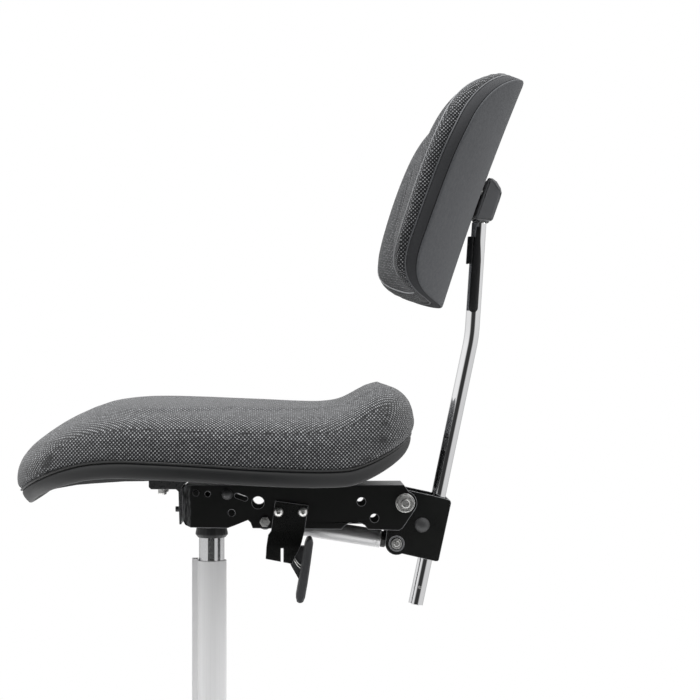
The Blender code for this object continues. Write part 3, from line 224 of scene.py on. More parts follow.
def tweed_material(name, sheen, tone):
    """Basket weave of near-black yarn with a light point at every crossing; tone scales the light yarn."""
    material, n, shader, place = new_material(
        name, 0.9, Sheen_Weight=sheen, Sheen_Roughness=0.5, Specular_IOR_Level=0.2)
    parts = n.add("ShaderNodeSeparateXYZ", {0: place})
    normal = n.add("ShaderNodeNewGeometry").outputs["Normal"]
    facing = n.add("ShaderNodeSeparateXYZ", {0: normal})
    turn = 2.0 * math.pi / WEAVE_PITCH
    waves = {axis: n.math("SINE", n.math("MULTIPLY", parts.outputs[axis], turn)) for axis in "XYZ"}
    weights = {
        axis: n.math("POWER", n.math("ABSOLUTE", facing.outputs[axis]), FACING_SHARPNESS) for axis in "XYZ"
    }
    total = n.math("ADD", n.math("ADD", weights["X"], weights["Y"]), n.math("ADD", weights["Z"], 0.0001))
    dots = 0.0
    for across, up, through in (("Y", "Z", "X"), ("X", "Z", "Y"), ("X", "Y", "Z")):
        lattice = n.math("MULTIPLY", waves[across], waves[up])
        share = n.math("DIVIDE", weights[through], total)
        dots = n.math("ADD", dots, n.math("MULTIPLY", lattice, share))
    yarn = n.noise(place, 900.0, 3.0, 0.65)
    uneven = n.ramp(n.noise(place, 330.0, 2.0), 0.25, 0.75)
    raised = n.math("ADD", dots, n.math("MULTIPLY", n.math("SUBTRACT", yarn, 0.5), 0.9))
    point = n.ramp(raised, 0.10, 0.74)
    light_yarn = n.mix(uneven, scaled((0.20, 0.204, 0.214), tone), scaled((0.60, 0.61, 0.63), tone))
    dark_yarn = n.mix(yarn, (0.004, 0.0042, 0.0045, 1.0), (0.018, 0.019, 0.021, 1.0))
    cloth = n.mix(point, dark_yarn, light_yarn)
    mottle = n.ramp(n.noise(place, 230.0, 1.0), 0.3, 0.7, 0.0, 0.42)
    n.link(n.mix(mottle, cloth, (0.022, 0.023, 0.025, 1.0)), shader, "Base Color")
    bump(n, shader, raised, 0.0005, 0.8)
    return material


def cover_material():
    """Fine, close-textured cover on the back of the backrest."""
    material, n, shader, place = new_material(
        "rear_cover", 0.85, Sheen_Weight=0.06, Sheen_Roughness=0.5, Specular_IOR_Level=0.3)
    grain = n.noise(place, 1500.0, 2.0, 0.6)
    patch = n.noise(place, 260.0, 3.0, 0.6)
    both = n.math("ADD", n.math("MULTIPLY", grain, 0.5), n.math("MULTIPLY", patch, 0.5))
    colour = n.mix(n.ramp(both, 0.3, 0.7), (0.078, 0.081, 0.087, 1.0), (0.112, 0.116, 0.124, 1.0))
    n.link(colour, shader, "Base Color")
    bump(n, shader, both, 0.00025)
    return material


def channel_material():
    """Black coat, with a painted sheen of light upright streaks round the folded front corner."""
    material, n, shader, place = new_material("channel_coat", 0.3)
    fine = n.noise(place, 1900.0, 4.0, 0.6)
    coat = n.mix(fine, (0.006, 0.0064, 0.0062, 1.0), (0.011, 0.0115, 0.0112, 1.0))
    stretched = n.add("ShaderNodeMapping", {"Vector": place, "Scale": (700.0, 700.0, 90.0)}).outputs["Vector"]
    streaks = n.ramp(n.noise(stretched, 1.0, 3.0, 0.6), 0.42, 0.68)
    # Painted sheen: the coat lightened to grey in upright streaks.
    painted_sheen = n.mix(streaks, (0.012, 0.0125, 0.0125, 1.0), (0.13, 0.132, 0.135, 1.0))
    along = n.add("ShaderNodeSeparateXYZ", {0: place}).outputs["X"]
    n.link(n.mix(n.ramp(along, SHEEN_PAINT_START, SHEEN_PAINT_END), painted_sheen, coat), shader, "Base Color")
    bump(n, shader, fine, 0.00002)
    return material


# One material for each slot of the record.
MATERIALS = {
    "satin_aluminium": brushed_material(
        "satin_aluminium", (0.82, 0.82, 0.83), 0.38, (300.0, 300.0, 300.0), 0.8),
    "satin_steel": brushed_material("satin_steel", (0.78, 0.78, 0.79), 0.2, (500.0, 500.0, 500.0)),
    "chrome": plain_noise_material("chrome", (0.95, 0.95, 0.96), 0.01, 60.0, 0.05, 0.0, 1.0, 0.015),
    "zinc": plain_noise_material("zinc", (0.88, 0.88, 0.86), 0.1, 900.0, 0.31, 0.00003, 0.9, 0.06),
    "black_coat": plain_noise_material(
        "black_coat", (0.0080, 0.0086, 0.0082), 0.3, 1900.0, 0.3, 0.00002, 0.0, 0.05, Specular_IOR_Level=0.5),
    "black_plastic": plain_noise_material(
        "black_plastic", (0.020, 0.0205, 0.0215), 0.2, 1500.0, 0.42, 0.00004),
    "grey_plastic": plain_noise_material(
        "grey_plastic", (0.050, 0.052, 0.055), 0.15, 1300.0, 0.42, 0.00004),
    "black_rubber": plain_noise_material(
        "black_rubber", (0.0125, 0.0130, 0.0137), 0.2, 1100.0, 0.45, 0.00005),
    "rear_cover": cover_material(),
    "tweed": tweed_material("tweed", 0.32, 1.0),
}
# Finishes of single pieces that differ from their slot; some carry painted light or shade, as noted.
# Darker copy of the tweed for the backrest cushion: painted shade.
BACK_TWEED_PAINTED_SHADE = tweed_material("tweed_back_painted_shade", 0.12, 0.8)
# Light grey for the rounded edges of the coated plates: a painted highlight.
EDGE_HIGHLIGHT_PAINT = plain_noise_material("coat_edge_highlight", (0.30, 0.305, 0.315), 0.2, 900.0, 0.35, 0.00002)
# Mottled grey copy of the black coat for the front flange: a painted sheen.
SHEEN_PAINTED_COAT = plain_noise_material("coat_painted_sheen", (0.045, 0.046, 0.047), 0.75, 420.0, 0.3, 0.00008)
SATIN_CAP = plain_noise_material("satin_cap", (0.085, 0.086, 0.088), 0.15, 900.0, 0.42, 0.00002, 0.35)
HOUSING = plain_noise_material("housing_plastic", (0.17, 0.174, 0.182), 0.15, 1400.0, 0.5, 0.00006)
BAND = plain_noise_material(
    "rim_felt", (0.046, 0.047, 0.050), 0.5, 620.0, 0.85, 0.0002, Specular_IOR_Level=0.15)
# Near-black, dull plastic for the seat shell; the near-black is painted shade under the seat.
PAN_SHADE_PAINT = plain_noise_material(
    "pan_plastic_shaded", (0.014, 0.0145, 0.015), 0.2, 1300.0, 0.8, 0.00004, Specular_IOR_Level=0.1)
SPRING_SATIN = plain_noise_material(
    "spring_satin", (0.64, 0.64, 0.645), 0.03, 300.0, 0.36, 0.00001, 0.85, 0.04)
TUBE_SATIN = brushed_material("tube_satin", (0.90, 0.90, 0.905), 0.5, (700.0, 700.0, 5.0), 0.1)
# Light grey for the backrest seam: a painted highlight along the cushion's crest.
SEAM_HIGHLIGHT_PAINT = plain_noise_material("seam_painted_highlight", (0.30, 0.305, 0.315), 0.3, 1500.0, 0.8, 0.0001)
PIPING = plain_noise_material("piping", (0.085, 0.088, 0.095), 0.2, 1600.0, 0.55, 0.0001)


def set_material(piece, material):
    """Make this the first material; a mesh that has none yet keeps its faces' material numbers."""
    if piece.data.materials:
        piece.data.materials.clear()
    piece.data.materials.append(material)


FLOOR_RADIUS = 0.86
FLOOR_DROP = 0.0004


def make_floor():
    """Pale disc just under the base, so that nothing shares its plane."""
    mesh = bpy.data.meshes.new("floor")
    shape = bmesh.new()
    bmesh.ops.create_circle(shape, cap_ends=True, radius=FLOOR_RADIUS, segments=160)
    shape.to_mesh(mesh)
    shape.free()
    floor = bpy.data.objects.new("floor", mesh)
    floor.location = (0.0, 0.0, -FLOOR_DROP)
    SCENE.collection.objects.link(floor)
    set_material(floor, plain_noise_material("floor_paint", (0.86, 0.86, 0.86), 0.02, 300.0, 0.6, 0.00002))


make_floor()


# ---------------------------------------------------------------- mesh helpers
def smooth_object(name, shape, material, smooth):
    """Turn a bmesh into an object, sharp only where faces meet at more than the smooth angle."""
    mesh = bpy.data.meshes.new(name)
    shape.normal_update()
    shape.to_mesh(mesh)
    shape.free()
    mesh.shade_smooth()
    mesh.set_sharp_from_angle(angle=math.radians(smooth))
    piece = bpy.data.objects.new(name, mesh)
    SCENE.collection.objects.link(piece)
    set_material(piece, material)
    return piece


def new_piece(name, shape, node, material=None, smooth=35.0):
    """A piece that stands for a CAD node and rides on its body."""
    slot = SLOT_OF[node]
    piece = smooth_object(name, shape, material or MATERIALS[slot], smooth)
    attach(piece, BODY_OF[node])
    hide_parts(node)
    return piece


def extra_piece(name, shape, body, slot, material=None, smooth=35.0):
    """A piece with no CAD node of its own."""
    piece = smooth_object(name, shape, material or MATERIALS[slot], smooth)
    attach(piece, body)


HARD_EDGE = 38.0


def welded(node):
    """A bmesh of a CAD node with its vertices joined and its flat faces whole."""
    shape = bmesh.new()
    shape.from_mesh(NODES[node].data)
    bmesh.ops.remove_doubles(shape, verts=shape.verts, dist=0.000002)
    bmesh.ops.dissolve_limit(shape, angle_limit=math.radians(0.6), verts=shape.verts, edges=shape.edges)
    bmesh.ops.recalc_face_normals(shape, faces=shape.faces)
    return shape


def edged(node, width, segments=2, material=None, edge_material=None, smooth=38.0, clamp=True):
    """A CAD node's shape with every hard edge rounded; clamp keeps the rounding below the shortest edge."""
    shape = welded(node)
    hard = math.radians(HARD_EDGE)
    edges = [e for e in shape.edges if len(e.link_faces) == 2 and e.calc_face_angle(0.0) > hard]
    rounded = bmesh.ops.bevel(shape, geom=edges, offset=width * MM, offset_type="OFFSET", segments=segments,
                              profile=0.5, affect="EDGES", clamp_overlap=clamp)
    # The rounded faces can take a second material; here it is a painted edge highlight.
    if edge_material:
        for face in rounded["faces"]:
            face.material_index = 1
    piece = new_piece(node + "_finish", shape, node, material, smooth)
    if edge_material:
        piece.data.materials.append(edge_material)
    bpy.context.view_layer.objects.active = piece
    weighted = piece.modifiers.new("weighted", "WEIGHTED_NORMAL")
    weighted.keep_sharp = True
    weighted.weight = 80
    bpy.ops.object.modifier_apply(modifier=weighted.name)


def ring_skin(rings, closed_tube=False, first_pole=None, last_pole=None):
    """A bmesh skinned over rings of points."""
    shape = bmesh.new()
    rows = [[shape.verts.new(Vector(p)) for p in row] for row in rings]
    count = len(rings[0])
    pairs = list(zip(rows, rows[1:]))
    if closed_tube:
        pairs.append((rows[-1], rows[0]))
    for lower, upper in pairs:
        for i in range(count):
            j = (i + 1) % count
            shape.faces.new((lower[i], lower[j], upper[j], upper[i]))
    for pole, row in ((first_pole, rows[0]), (last_pole, rows[-1])):
        if pole is not None:
            tip = shape.verts.new(Vector(pole))
            for i in range(count):
                shape.faces.new((row[i], row[(i + 1) % count], tip))
    bmesh.ops.recalc_face_normals(shape, faces=shape.faces)
    return shape


def turned(profile, origin, direction, steps=48):
    """A bmesh of a profile of (radius, height) in mm turned about an axis; radius 0 is a pole."""
    rotation = Vector((0, 0, 1)).rotation_difference(Vector(direction).normalized()).to_matrix()

    def place(radius, height, angle):
        local = Vector((radius * math.cos(angle), radius * math.sin(angle), height))
        return (Vector(origin) + rotation @ local) * MM

    poles = [place(0, profile[k][1], 0) if profile[k][0] == 0 else None for k in (0, -1)]
    rings = [
        [place(radius, height, 2.0 * math.pi * i / steps) for i in range(steps)]
        for radius, height in profile if radius > 0
    ]
    return ring_skin(rings, poles == [None, None], *poles)


def tube_along(points, radius, sides=12, closed=False, end_radius=None):
    """A bmesh tube of a radius in metres along points, with narrower ends if end_radius is given."""
    rings = []
    count = len(points)
    side = None
    for i, point in enumerate(points):
        before = points[i - 1] if (i > 0 or closed) else point
        after = points[(i + 1) % count] if (i < count - 1 or closed) else point
        along = (Vector(after) - Vector(before)).normalized()
        if side is None:
            side = along.orthogonal().normalized()
        side = (side - along * side.dot(along)).normalized()
        up = along.cross(side)
        reach = end_radius if end_radius and i in (0, count - 1) else radius
        rings.append([
            Vector(point) + side * reach * math.cos(a) + up * reach * math.sin(a)
            for a in (2.0 * math.pi * k / sides for k in range(sides))
        ])
    if closed:
        return ring_skin(rings, closed_tube=True)
    return ring_skin(rings, first_pole=points[0], last_pole=points[-1])


def curve_value(knots, x):
    """Smooth curve through (x, value) knots, flat beyond the ends."""
    if x <= knots[0][0]:
        return knots[0][1]
    if x >= knots[-1][0]:
        return knots[-1][1]
    last = len(knots) - 1
    i = max(k for k in range(last) if knots[k][0] <= x)

    def slope(k):
        low, high = max(k - 1, 0), min(k + 1, last)
        return (knots[high][1] - knots[low][1]) / (knots[high][0] - knots[low][0])

    span = knots[i + 1][0] - knots[i][0]
    t = (x - knots[i][0]) / span
    rise = (2 * t ** 3 - 3 * t ** 2 + 1) * knots[i][1] + (3 * t ** 2 - 2 * t ** 3) * knots[i + 1][1]
    lean = (t ** 3 - 2 * t ** 2 + t) * slope(i) + (t ** 3 - t ** 2) * slope(i + 1)
    return rise + lean * span


def ease(low, high, x):
    """Smooth step from 0 at low to 1 at high; low may be the larger."""
    t = min(max((x - low) / (high - low), 0.0), 1.0)
    return t * t * (3.0 - 2.0 * t)


# ---------------------------------------------------------------- seat trim
SEAT_CENTRE_X = 8.0
SEAT_FRONT_LENGTH = 206.0
SEAT_REAR_LENGTH = 210.0
SEAT_HALF_WIDTH = 204.0
SEAT_SQUARENESS = 2.35
SEAT_NOTCH_DEPTH = 17.0
SEAT_NOTCH_WIDTH = 45.0
EDGE_HEIGHTS = [
    (-198, 403.5), (-188, 411), (-175, 419), (-154, 428.5), (-127, 436.8), (-104, 440.6), (-78, 442),
    (-11, 439.5), (43, 436), (98, 433), (125, 432.2), (147, 433), (165, 438.2), (184, 446.8), (200, 456),
    (212, 465), (220, 470),
]


def seat_edge(angle):
    """Point of the trim's centre line, its outward and its up direction, in mm."""
    across, side = math.cos(angle), math.sin(angle)
    length = SEAT_REAR_LENGTH if across > 0 else SEAT_FRONT_LENGTH
    power = SEAT_SQUARENESS
    reach = (abs(across / length) ** power + abs(side / SEAT_HALF_WIDTH) ** power) ** (-1.0 / power)
    x, y = reach * across, reach * side
    height = curve_value(EDGE_HEIGHTS, SEAT_CENTRE_X + x)
    tilt = math.radians(33.0 * ease(-120.0, -200.0, x) + 12.0 * ease(150.0, 205.0, x))
    notch = SEAT_NOTCH_DEPTH * math.exp(-(y / SEAT_NOTCH_WIDTH) ** 2) if across > 0 else 0.0
    normal = Vector((
        abs(x / length) ** (power - 1) / length * (1 if x > 0 else -1),
        abs(y / SEAT_HALF_WIDTH) ** (power - 1) / SEAT_HALF_WIDTH * (1 if y > 0 else -1),
        0.0,
    )).normalized()
    place = Vector((SEAT_CENTRE_X + x - notch, y, height))
    up = normal * math.sin(tilt) + Vector((0, 0, math.cos(tilt)))
    out = normal * math.cos(tilt) - Vector((0, 0, math.sin(tilt)))
    return place, out, up


def seat_loop(out_by, up_by, count=220):
    """Loop in metres that keeps its distance, in mm, from the trim's centre line."""
    points = []
    for i in range(count):
        place, out, up = seat_edge(2.0 * math.pi * i / count)
        points.append((place + out * out_by + up * up_by) * MM)
    return points


TRIM_SECTION = [
    (2.6, -8.5), (3.3, -7.6), (4.0, -5.2), (4.5, -2.0), (4.6, 0.6), (4.4, 3.0), (3.8, 4.9), (3.0, 5.9),
    (2.3, 6.3), (2.5, 6.7), (3.4, 7.0), (4.1, 7.5), (4.3, 8.2), (3.9, 9.0), (2.8, 9.4), (0.6, 9.0),
    (-2.4, 9.0), (-3.4, 7.6), (-3.4, -7.6), (-2.2, -9.0), (1.6, -9.0),
]
new_piece("seat_trim_finish", ring_skin([seat_loop(o, u) for o, u in TRIM_SECTION], closed_tube=True),
          "seat_trim", smooth=60.0)


# ---------------------------------------------------------------- backrest shell, rim and piping
PAD_CENTRE = (297.1, 728.9)
PAD_LEAN = math.radians(20.0)
PAD_HALF_WIDTH = 190.0
PAD_HALF_HEIGHT = 130.0
PAD_WRAP = [
    (-130, 61), (-107, 55.8), (-70, 50.8), (-13, 49.2), (33, 48.6), (60, 51.5), (100, 57.5), (130, 61),
]
PAD_BOW = 3.0
PAD_SQUARENESS_TOP = 2.2
PAD_SQUARENESS_BOTTOM = 5.4


def pad_point(v, y, d):
    """Point in metres, v mm up the leaning backrest, y across it and d forward of its rear plane."""
    sine, cosine = math.sin(PAD_LEAN), math.cos(PAD_LEAN)
    x = PAD_CENTRE[0] + v * sine - d * cosine
    z = PAD_CENTRE[1] + v * cosine + d * sine
    return Vector((x, y, z)) * MM


def pad_outline(angle, inset=0.0):
    """Height and side of the backrest's outline, in mm from its middle."""
    across, up = math.cos(angle), math.sin(angle)
    power = PAD_SQUARENESS_TOP if up > 0 else PAD_SQUARENESS_BOTTOM
    half_width = PAD_HALF_WIDTH - inset
    half_height = PAD_HALF_HEIGHT - inset
    reach = (abs(across / half_width) ** power + abs(up / half_height) ** power) ** (-1.0 / power)
    return reach * up, reach * across


def pad_rear(v, y):
    """Depth of the rear face, wrapped forward to the sides and bowed up its height."""
    wrap = curve_value(PAD_WRAP, v) * (y / PAD_HALF_WIDTH) ** 2
    return wrap + PAD_BOW * (1.0 - (v / PAD_HALF_HEIGHT) ** 2)


def pad_loop(scale, depth, inset=0.0, count=200):
    """Loop in metres at a share of the outline, depth mm forward of the rear face."""
    points = []
    for i in range(count):
        v, y = pad_outline(2.0 * math.pi * (i + 0.5) / count, inset)
        points.append(pad_point(v * scale, y * scale, pad_rear(v * scale, y * scale) + depth))
    return points


SHELL_SCALES = [0.08, 0.2, 0.32, 0.44, 0.56, 0.68, 0.78, 0.87, 0.94]
shell_rings = [pad_loop(s, 0.0) for s in SHELL_SCALES]
shell_rings += [pad_loop(0.975, 0.02), pad_loop(0.993, 0.25), pad_loop(1.0, 0.8), pad_loop(1.0, 2.1)]
shell_rings += [pad_loop(0.985, 2.3), pad_loop(0.95, 2.6), pad_loop(0.7, 4.6), pad_loop(0.3, 5.0)]
new_piece(
    "back_shell_finish",
    ring_skin(shell_rings, first_pole=pad_point(0, 0, PAD_BOW), last_pole=pad_point(0, 0, PAD_BOW + 5.0)),
    "back_shell", smooth=60.0)
RIM_SECTION = [
    (1.0, 2.9, 0.0), (1.002, 4.0, 0.0), (1.002, 11.6, 0.0), (1.0, 12.8, 0.0), (1.0, 13.4, 1.2),
    (1.0, 13.4, 7.0), (1.0, 6.2, 7.0), (1.0, 3.2, 2.0),
]
rim_rings = [pad_loop(*station) for station in RIM_SECTION]
new_piece("backrest_rim_finish", ring_skin(rim_rings, closed_tube=True), "backrest_rim", BAND, 50.0)
extra_piece("backrest_piping", tube_along(pad_loop(1.001, 14.3, 0.6), 0.95 * MM, 10, closed=True),
            "backrest_pad", "black_rubber", PIPING, 80.0)


# ---------------------------------------------------------------- cushions
CREST_HEIGHTS = [
    (-212, 452), (-205, 479), (-194, 486), (-179, 489.5), (-157, 496), (-124, 504.5), (-80, 509),
    (-16, 507.6), (43, 505), (102, 502.3), (126, 502.7), (146, 507), (160, 515.5), (176, 525), (192, 529.5),
    (206, 529), (222, 528),
]
PAD_MIDDLE_DEPTH = [(-130, 54), (0, 55), (60, 54), (100, 50), (130, 43)]
PAD_WING_DEPTH = [(-130, 84), (-45, 91), (0, 92), (55, 89), (100, 77), (130, 61)]
SEAT_FLOOR_HEIGHT = 436.0
SEAT_BELLY_HEIGHT = 24.0
PAD_BELLY_DEPTH = 22.0
PAD_FLOOR_DEPTH = 8.5
CUSHION_SIDES = 160


def seat_cover_shape():
    """Wanted surface of the seat cushion, closed below inside the trim."""
    edges = [seat_edge(2.0 * math.pi * i / CUSHION_SIDES) for i in range(CUSHION_SIDES)]
    rings = []
    for scale, lift in ((0.15, 0.0), (0.4, 0.0), (0.65, 1.0)):
        row = []
        for place, _, _ in edges:
            x = SEAT_CENTRE_X + (place.x - SEAT_CENTRE_X) * scale
            height = SEAT_FLOOR_HEIGHT + lift + (place.z - SEAT_FLOOR_HEIGHT) * scale ** 4
            row.append(Vector((x, place.y * scale, height)))
        rings.append(row)
    for out_by, up_by in ((-22.0, 7.0), (-6.0, 6.5), (2.2, 6.8), (3.0, 8.0)):
        rings.append([p + out * out_by + up * up_by for p, out, up in edges])
    belly = [
        p + out * (5.0 - 4.5 * ease(-120.0, -200.0, p.x)) + up * SEAT_BELLY_HEIGHT for p, out, up in edges
    ]
    for share in (0.08, 0.3, 0.6, 0.85, 1.0):
        rings.append([
            (p + out * 3.4 + up * 9.0).lerp(b, share) + out * math.sin(math.pi * share)
            for (p, out, up), b in zip(edges, belly)
        ])
    for scale in (0.994, 0.985, 0.97, 0.95, 0.92, 0.88, 0.83, 0.77, 0.70, 0.62, 0.52, 0.42, 0.30, 0.18, 0.08):
        row = []
        for point in belly:
            rearward = max(point.x - SEAT_CENTRE_X, 0.0) / SEAT_REAR_LENGTH
            share = math.sqrt(1.0 - scale ** (4.6 + 6.4 * rearward ** 2))
            x = SEAT_CENTRE_X + (point.x - SEAT_CENTRE_X) * scale
            rise = (curve_value(CREST_HEIGHTS, x) - point.z) * share
            row.append(Vector((x, point.y * scale, point.z + rise)))
        rings.append(row)
    top = Vector((SEAT_CENTRE_X, 0.0, curve_value(CREST_HEIGHTS, SEAT_CENTRE_X)))
    bottom = Vector((SEAT_CENTRE_X, 0.0, SEAT_FLOOR_HEIGHT))
    return ring_skin([[p * MM for p in row] for row in rings], first_pole=bottom * MM, last_pole=top * MM)


def pad_front(v, y):
    """Depth of the cushion's front, deeper at the two wings than in the middle."""
    middle = curve_value(PAD_MIDDLE_DEPTH, v)
    return middle + (curve_value(PAD_WING_DEPTH, v) - middle) * ease(50.0, 165.0, abs(y))


def pad_crown(step):
    """Ring of the backrest cushion's front, from its belly at 0 degrees to its middle at 90."""
    beta = math.radians(step)
    scale = math.cos(beta) ** 0.5 * 1.012
    row = []
    for i in range(CUSHION_SIDES):
        v, y = pad_outline(2.0 * math.pi * (i + 0.5) / CUSHION_SIDES)
        base = pad_rear(v, y) + PAD_BELLY_DEPTH
        depth = base + (pad_front(v * scale, y * scale) - base) * math.sin(beta)
        row.append(pad_point(v * scale, y * scale, depth))
    return row


def pad_cover_shape():
    """Wanted surface of the backrest cushion, closed behind inside the rim."""
    rings = [pad_loop(s, PAD_FLOOR_DEPTH, count=CUSHION_SIDES) for s in (0.1, 0.3, 0.5, 0.7, 0.85)]
    rings += [pad_loop(*station, CUSHION_SIDES) for station in (
        (1.0, 9.0, 8.5), (1.0, 12.6, 7.5), (1.0, 13.9, 2.5), (1.001, 14.4, 0.6), (1.006, 16.5, 0.0),
        (1.01, 19.0, 0.0),
    )]
    rings += [pad_crown(step) for step in (0, 6, 12, 18, 25, 32, 40, 48, 56, 63, 69, 74, 79, 83, 86.5)]
    bottom = pad_point(0, 0, PAD_FLOOR_DEPTH + PAD_BOW)
    return ring_skin(rings, first_pole=bottom, last_pole=pad_point(0, 0, pad_front(0, 0)))


CLOTH_STEPS = 20
CLOTH_PRESSURE = 4.0
VOXEL_SIZE = 5.0 * MM
START_SHRINK = 3.0 * MM
LARGEST_MOVE = 5.5 * MM
INWARD_LIMIT = 1.8 * MM
OUTWARD_LIMIT = 0.6 * MM
SMOOTHING_PASSES = 12


def blow_up(cushion, free):
    """Run the cloth with a pressure inside, held where free is 0, and keep its last shape."""
    pins = cushion.vertex_groups.new(name="pins")
    for index, amount in enumerate(free):
        pins.add([index], 1.0 - amount, "REPLACE")
    cloth = cushion.modifiers.new("cloth", "CLOTH")
    cloth.settings.quality = 6
    cloth.settings.use_pressure = True
    cloth.settings.uniform_pressure_force = CLOTH_PRESSURE
    cloth.settings.effector_weights.gravity = 0.0
    cloth.settings.vertex_group_mass = "pins"
    cloth.settings.tension_stiffness = 25.0
    cloth.settings.compression_stiffness = 25.0
    cloth.settings.bending_stiffness = 5.0
    cloth.collision_settings.use_collision = False
    cloth.point_cache.frame_start = 1
    cloth.point_cache.frame_end = CLOTH_STEPS
    for step in range(1, CLOTH_STEPS + 1):
        SCENE.frame_set(step)
    bpy.ops.object.modifier_apply(modifier=cloth.name)
    SCENE.frame_set(1)


def averaged(moves, edges, passes):
    """Moves of the vertices, each averaged with its neighbours' several times over."""
    links = [[] for _ in moves]
    for edge in edges:
        a, b = edge.vertices
        links[a].append(b)
        links[b].append(a)
    for _ in range(passes):
        moves = [
            (m + sum((moves[k] for k in near), Vector())) / (1 + len(near)) for m, near in zip(moves, links)
        ]
    return moves


def simulated_cushion(name, node, wanted, freedom):
    """Cushion blown up as cloth from a slightly small start, then held near its wanted surface.

    freedom(point) runs from 0 at the seam to 1 on the free cover.
    """
    bmesh.ops.triangulate(wanted, faces=wanted.faces)
    surface = BVHTree.FromBMesh(wanted)
    mesh = bpy.data.meshes.new(name)
    wanted.to_mesh(mesh)
    wanted.free()
    cushion = bpy.data.objects.new(name, mesh)
    SCENE.collection.objects.link(cushion)
    bpy.context.view_layer.objects.active = cushion
    remesh = cushion.modifiers.new("remesh", "REMESH")
    remesh.mode = "VOXEL"
    remesh.voxel_size = VOXEL_SIZE
    bpy.ops.object.modifier_apply(modifier=remesh.name)
    mesh = cushion.data
    free = [freedom(v.co) for v in mesh.vertices]
    normals = [v.normal.copy() for v in mesh.vertices]
    for vertex, normal, amount in zip(mesh.vertices, normals, free):
        vertex.co -= normal * START_SHRINK * amount
    start = [v.co.copy() for v in mesh.vertices]
    moved = [n * START_SHRINK * a for n, a in zip(normals, free)]
    blow_up(cushion, free)
    mesh = cushion.data
    moved = [v.co - origin for v, origin in zip(mesh.vertices, start)]
    moved = averaged(moved, mesh.edges, SMOOTHING_PASSES)
    for vertex, origin, change, amount in zip(mesh.vertices, start, moved, free):
        if change.length > LARGEST_MOVE:
            change = change.normalized() * LARGEST_MOVE
        place = origin + change * amount
        near, normal, _, _ = surface.find_nearest(place)
        gap = (place - near).dot(normal)
        vertex.co = near + normal * min(max(gap, -INWARD_LIMIT), OUTWARD_LIMIT) * amount
    cushion.vertex_groups.clear()
    relaxed = cushion.modifiers.new("relax", "SMOOTH")
    relaxed.factor = 0.5
    relaxed.iterations = 2
    finer = cushion.modifiers.new("finer", "SUBSURF")
    finer.levels = finer.render_levels = 1
    for modifier in list(cushion.modifiers):
        bpy.ops.object.modifier_apply(modifier=modifier.name)
    cushion.data.shade_smooth()
    set_material(cushion, MATERIALS[SLOT_OF[node]])
    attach(cushion, BODY_OF[node])
    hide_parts(node)
    return cushion


def seat_freedom(point):
    """0 on the underside and at the trim, 1 on the free cover."""
    edge = curve_value(EDGE_HEIGHTS, point.x / MM) * MM
    return ease(0.009, 0.026, point.z - edge)


def pad_freedom(point):
    """0 behind the piping, 1 on the free cover."""
    sine, cosine = math.sin(PAD_LEAN), math.cos(PAD_LEAN)
    dx = point.x / MM - PAD_CENTRE[0]
    dz = point.z / MM - PAD_CENTRE[1]
    v = dx * sine + dz * cosine
    depth = dz * sine - dx * cosine
    return ease(14.0, 26.0, depth - pad_rear(v, point.y / MM))


seat_cushion = simulated_cushion("seat_cushion_cover", "seat_cushion", seat_cover_shape(), seat_freedom)
back_cushion = simulated_cushion("backrest_cushion_cover", "backrest_cushion", pad_cover_shape(), pad_freedom)
# The backrest cushion takes the darker tweed, a painted shade.
set_material(back_cushion, BACK_TWEED_PAINTED_SHADE)

# Seam tube along the cushion's crest; its light grey is a painted highlight of the crest.
SEAM_STEP = 25.0
SEAM_LIFT = 0.1 * MM
SEAM_RADIUS = 0.75 * MM
cover = BVHTree.FromObject(back_cushion, bpy.context.evaluated_depsgraph_get())
seam_line = []
for point in pad_crown(SEAM_STEP):
    near, normal, _, _ = cover.find_nearest(point)
    seam_line.append(near + normal * SEAM_LIFT)
extra_piece("backrest_seam_highlight", tube_along(seam_line, SEAM_RADIUS, 8, closed=True),
            "backrest_pad", "tweed", SEAM_HIGHLIGHT_PAINT, 80.0)


# ---------------------------------------------------------------- backrest rod and its strip
ROD_RADIUS = 8.0
ROD_BOTTOM = Vector((224.1, 0.0, 281.4))
ROD_BEND = Vector((286.0, 0.0, 576.0))
ROD_TOP = Vector((294.2, 0.0, 701.0))
ROD_CHAMFER = 0.7
ROD_TURN_LENGTH = 12.0
ROD_TURN_STEPS = 8


def rod_path():
    """Centre line of the rod, rounded at its bend."""
    lower = (ROD_BEND - ROD_BOTTOM).normalized()
    upper = (ROD_TOP - ROD_BEND).normalized()
    points = [ROD_BOTTOM, ROD_BOTTOM + lower * ROD_CHAMFER]
    points += [ROD_BOTTOM.lerp(ROD_BEND, share) for share in (0.2, 0.4, 0.6, 0.8)]
    enter = ROD_BEND - lower * ROD_TURN_LENGTH
    leave = ROD_BEND + upper * ROD_TURN_LENGTH
    for i in range(ROD_TURN_STEPS + 1):
        t = i / ROD_TURN_STEPS
        points.append(enter * (1 - t) ** 2 + ROD_BEND * 2 * t * (1 - t) + leave * t ** 2)
    points += [ROD_BEND.lerp(ROD_TOP, share) for share in (0.4, 0.7)]
    points += [ROD_TOP - upper * ROD_CHAMFER, ROD_TOP]
    return [point * MM for point in points]


rod_shape = tube_along(rod_path(), ROD_RADIUS * MM, 56, end_radius=(ROD_RADIUS - ROD_CHAMFER) * MM)
new_piece("backrest_rod_finish", rod_shape, "backrest_rod")

STRIP_FOOT_HEIGHT = 602.0
STRIP_LENGTH = 94.0
STRIP_MIDDLE_ANGLE = 262.0
STRIP_HALF_ANGLE = 34.0
STRIP_FOOT_LENGTH = 5.5
STRIP_TAPER_START = 52.0
STRIP_TAPER = 0.62
STRIP_OUTER_RADIUS = 9.0
STRIP_INNER_RADIUS = 8.25


def strip_share(height):
    """Share of the strip's full width at a height above its foot."""
    rounding = math.sqrt(1.0 - (1.0 - min(height / STRIP_FOOT_LENGTH, 1.0)) ** 2)
    return rounding * (1.0 - STRIP_TAPER * ease(STRIP_TAPER_START, STRIP_LENGTH, height))


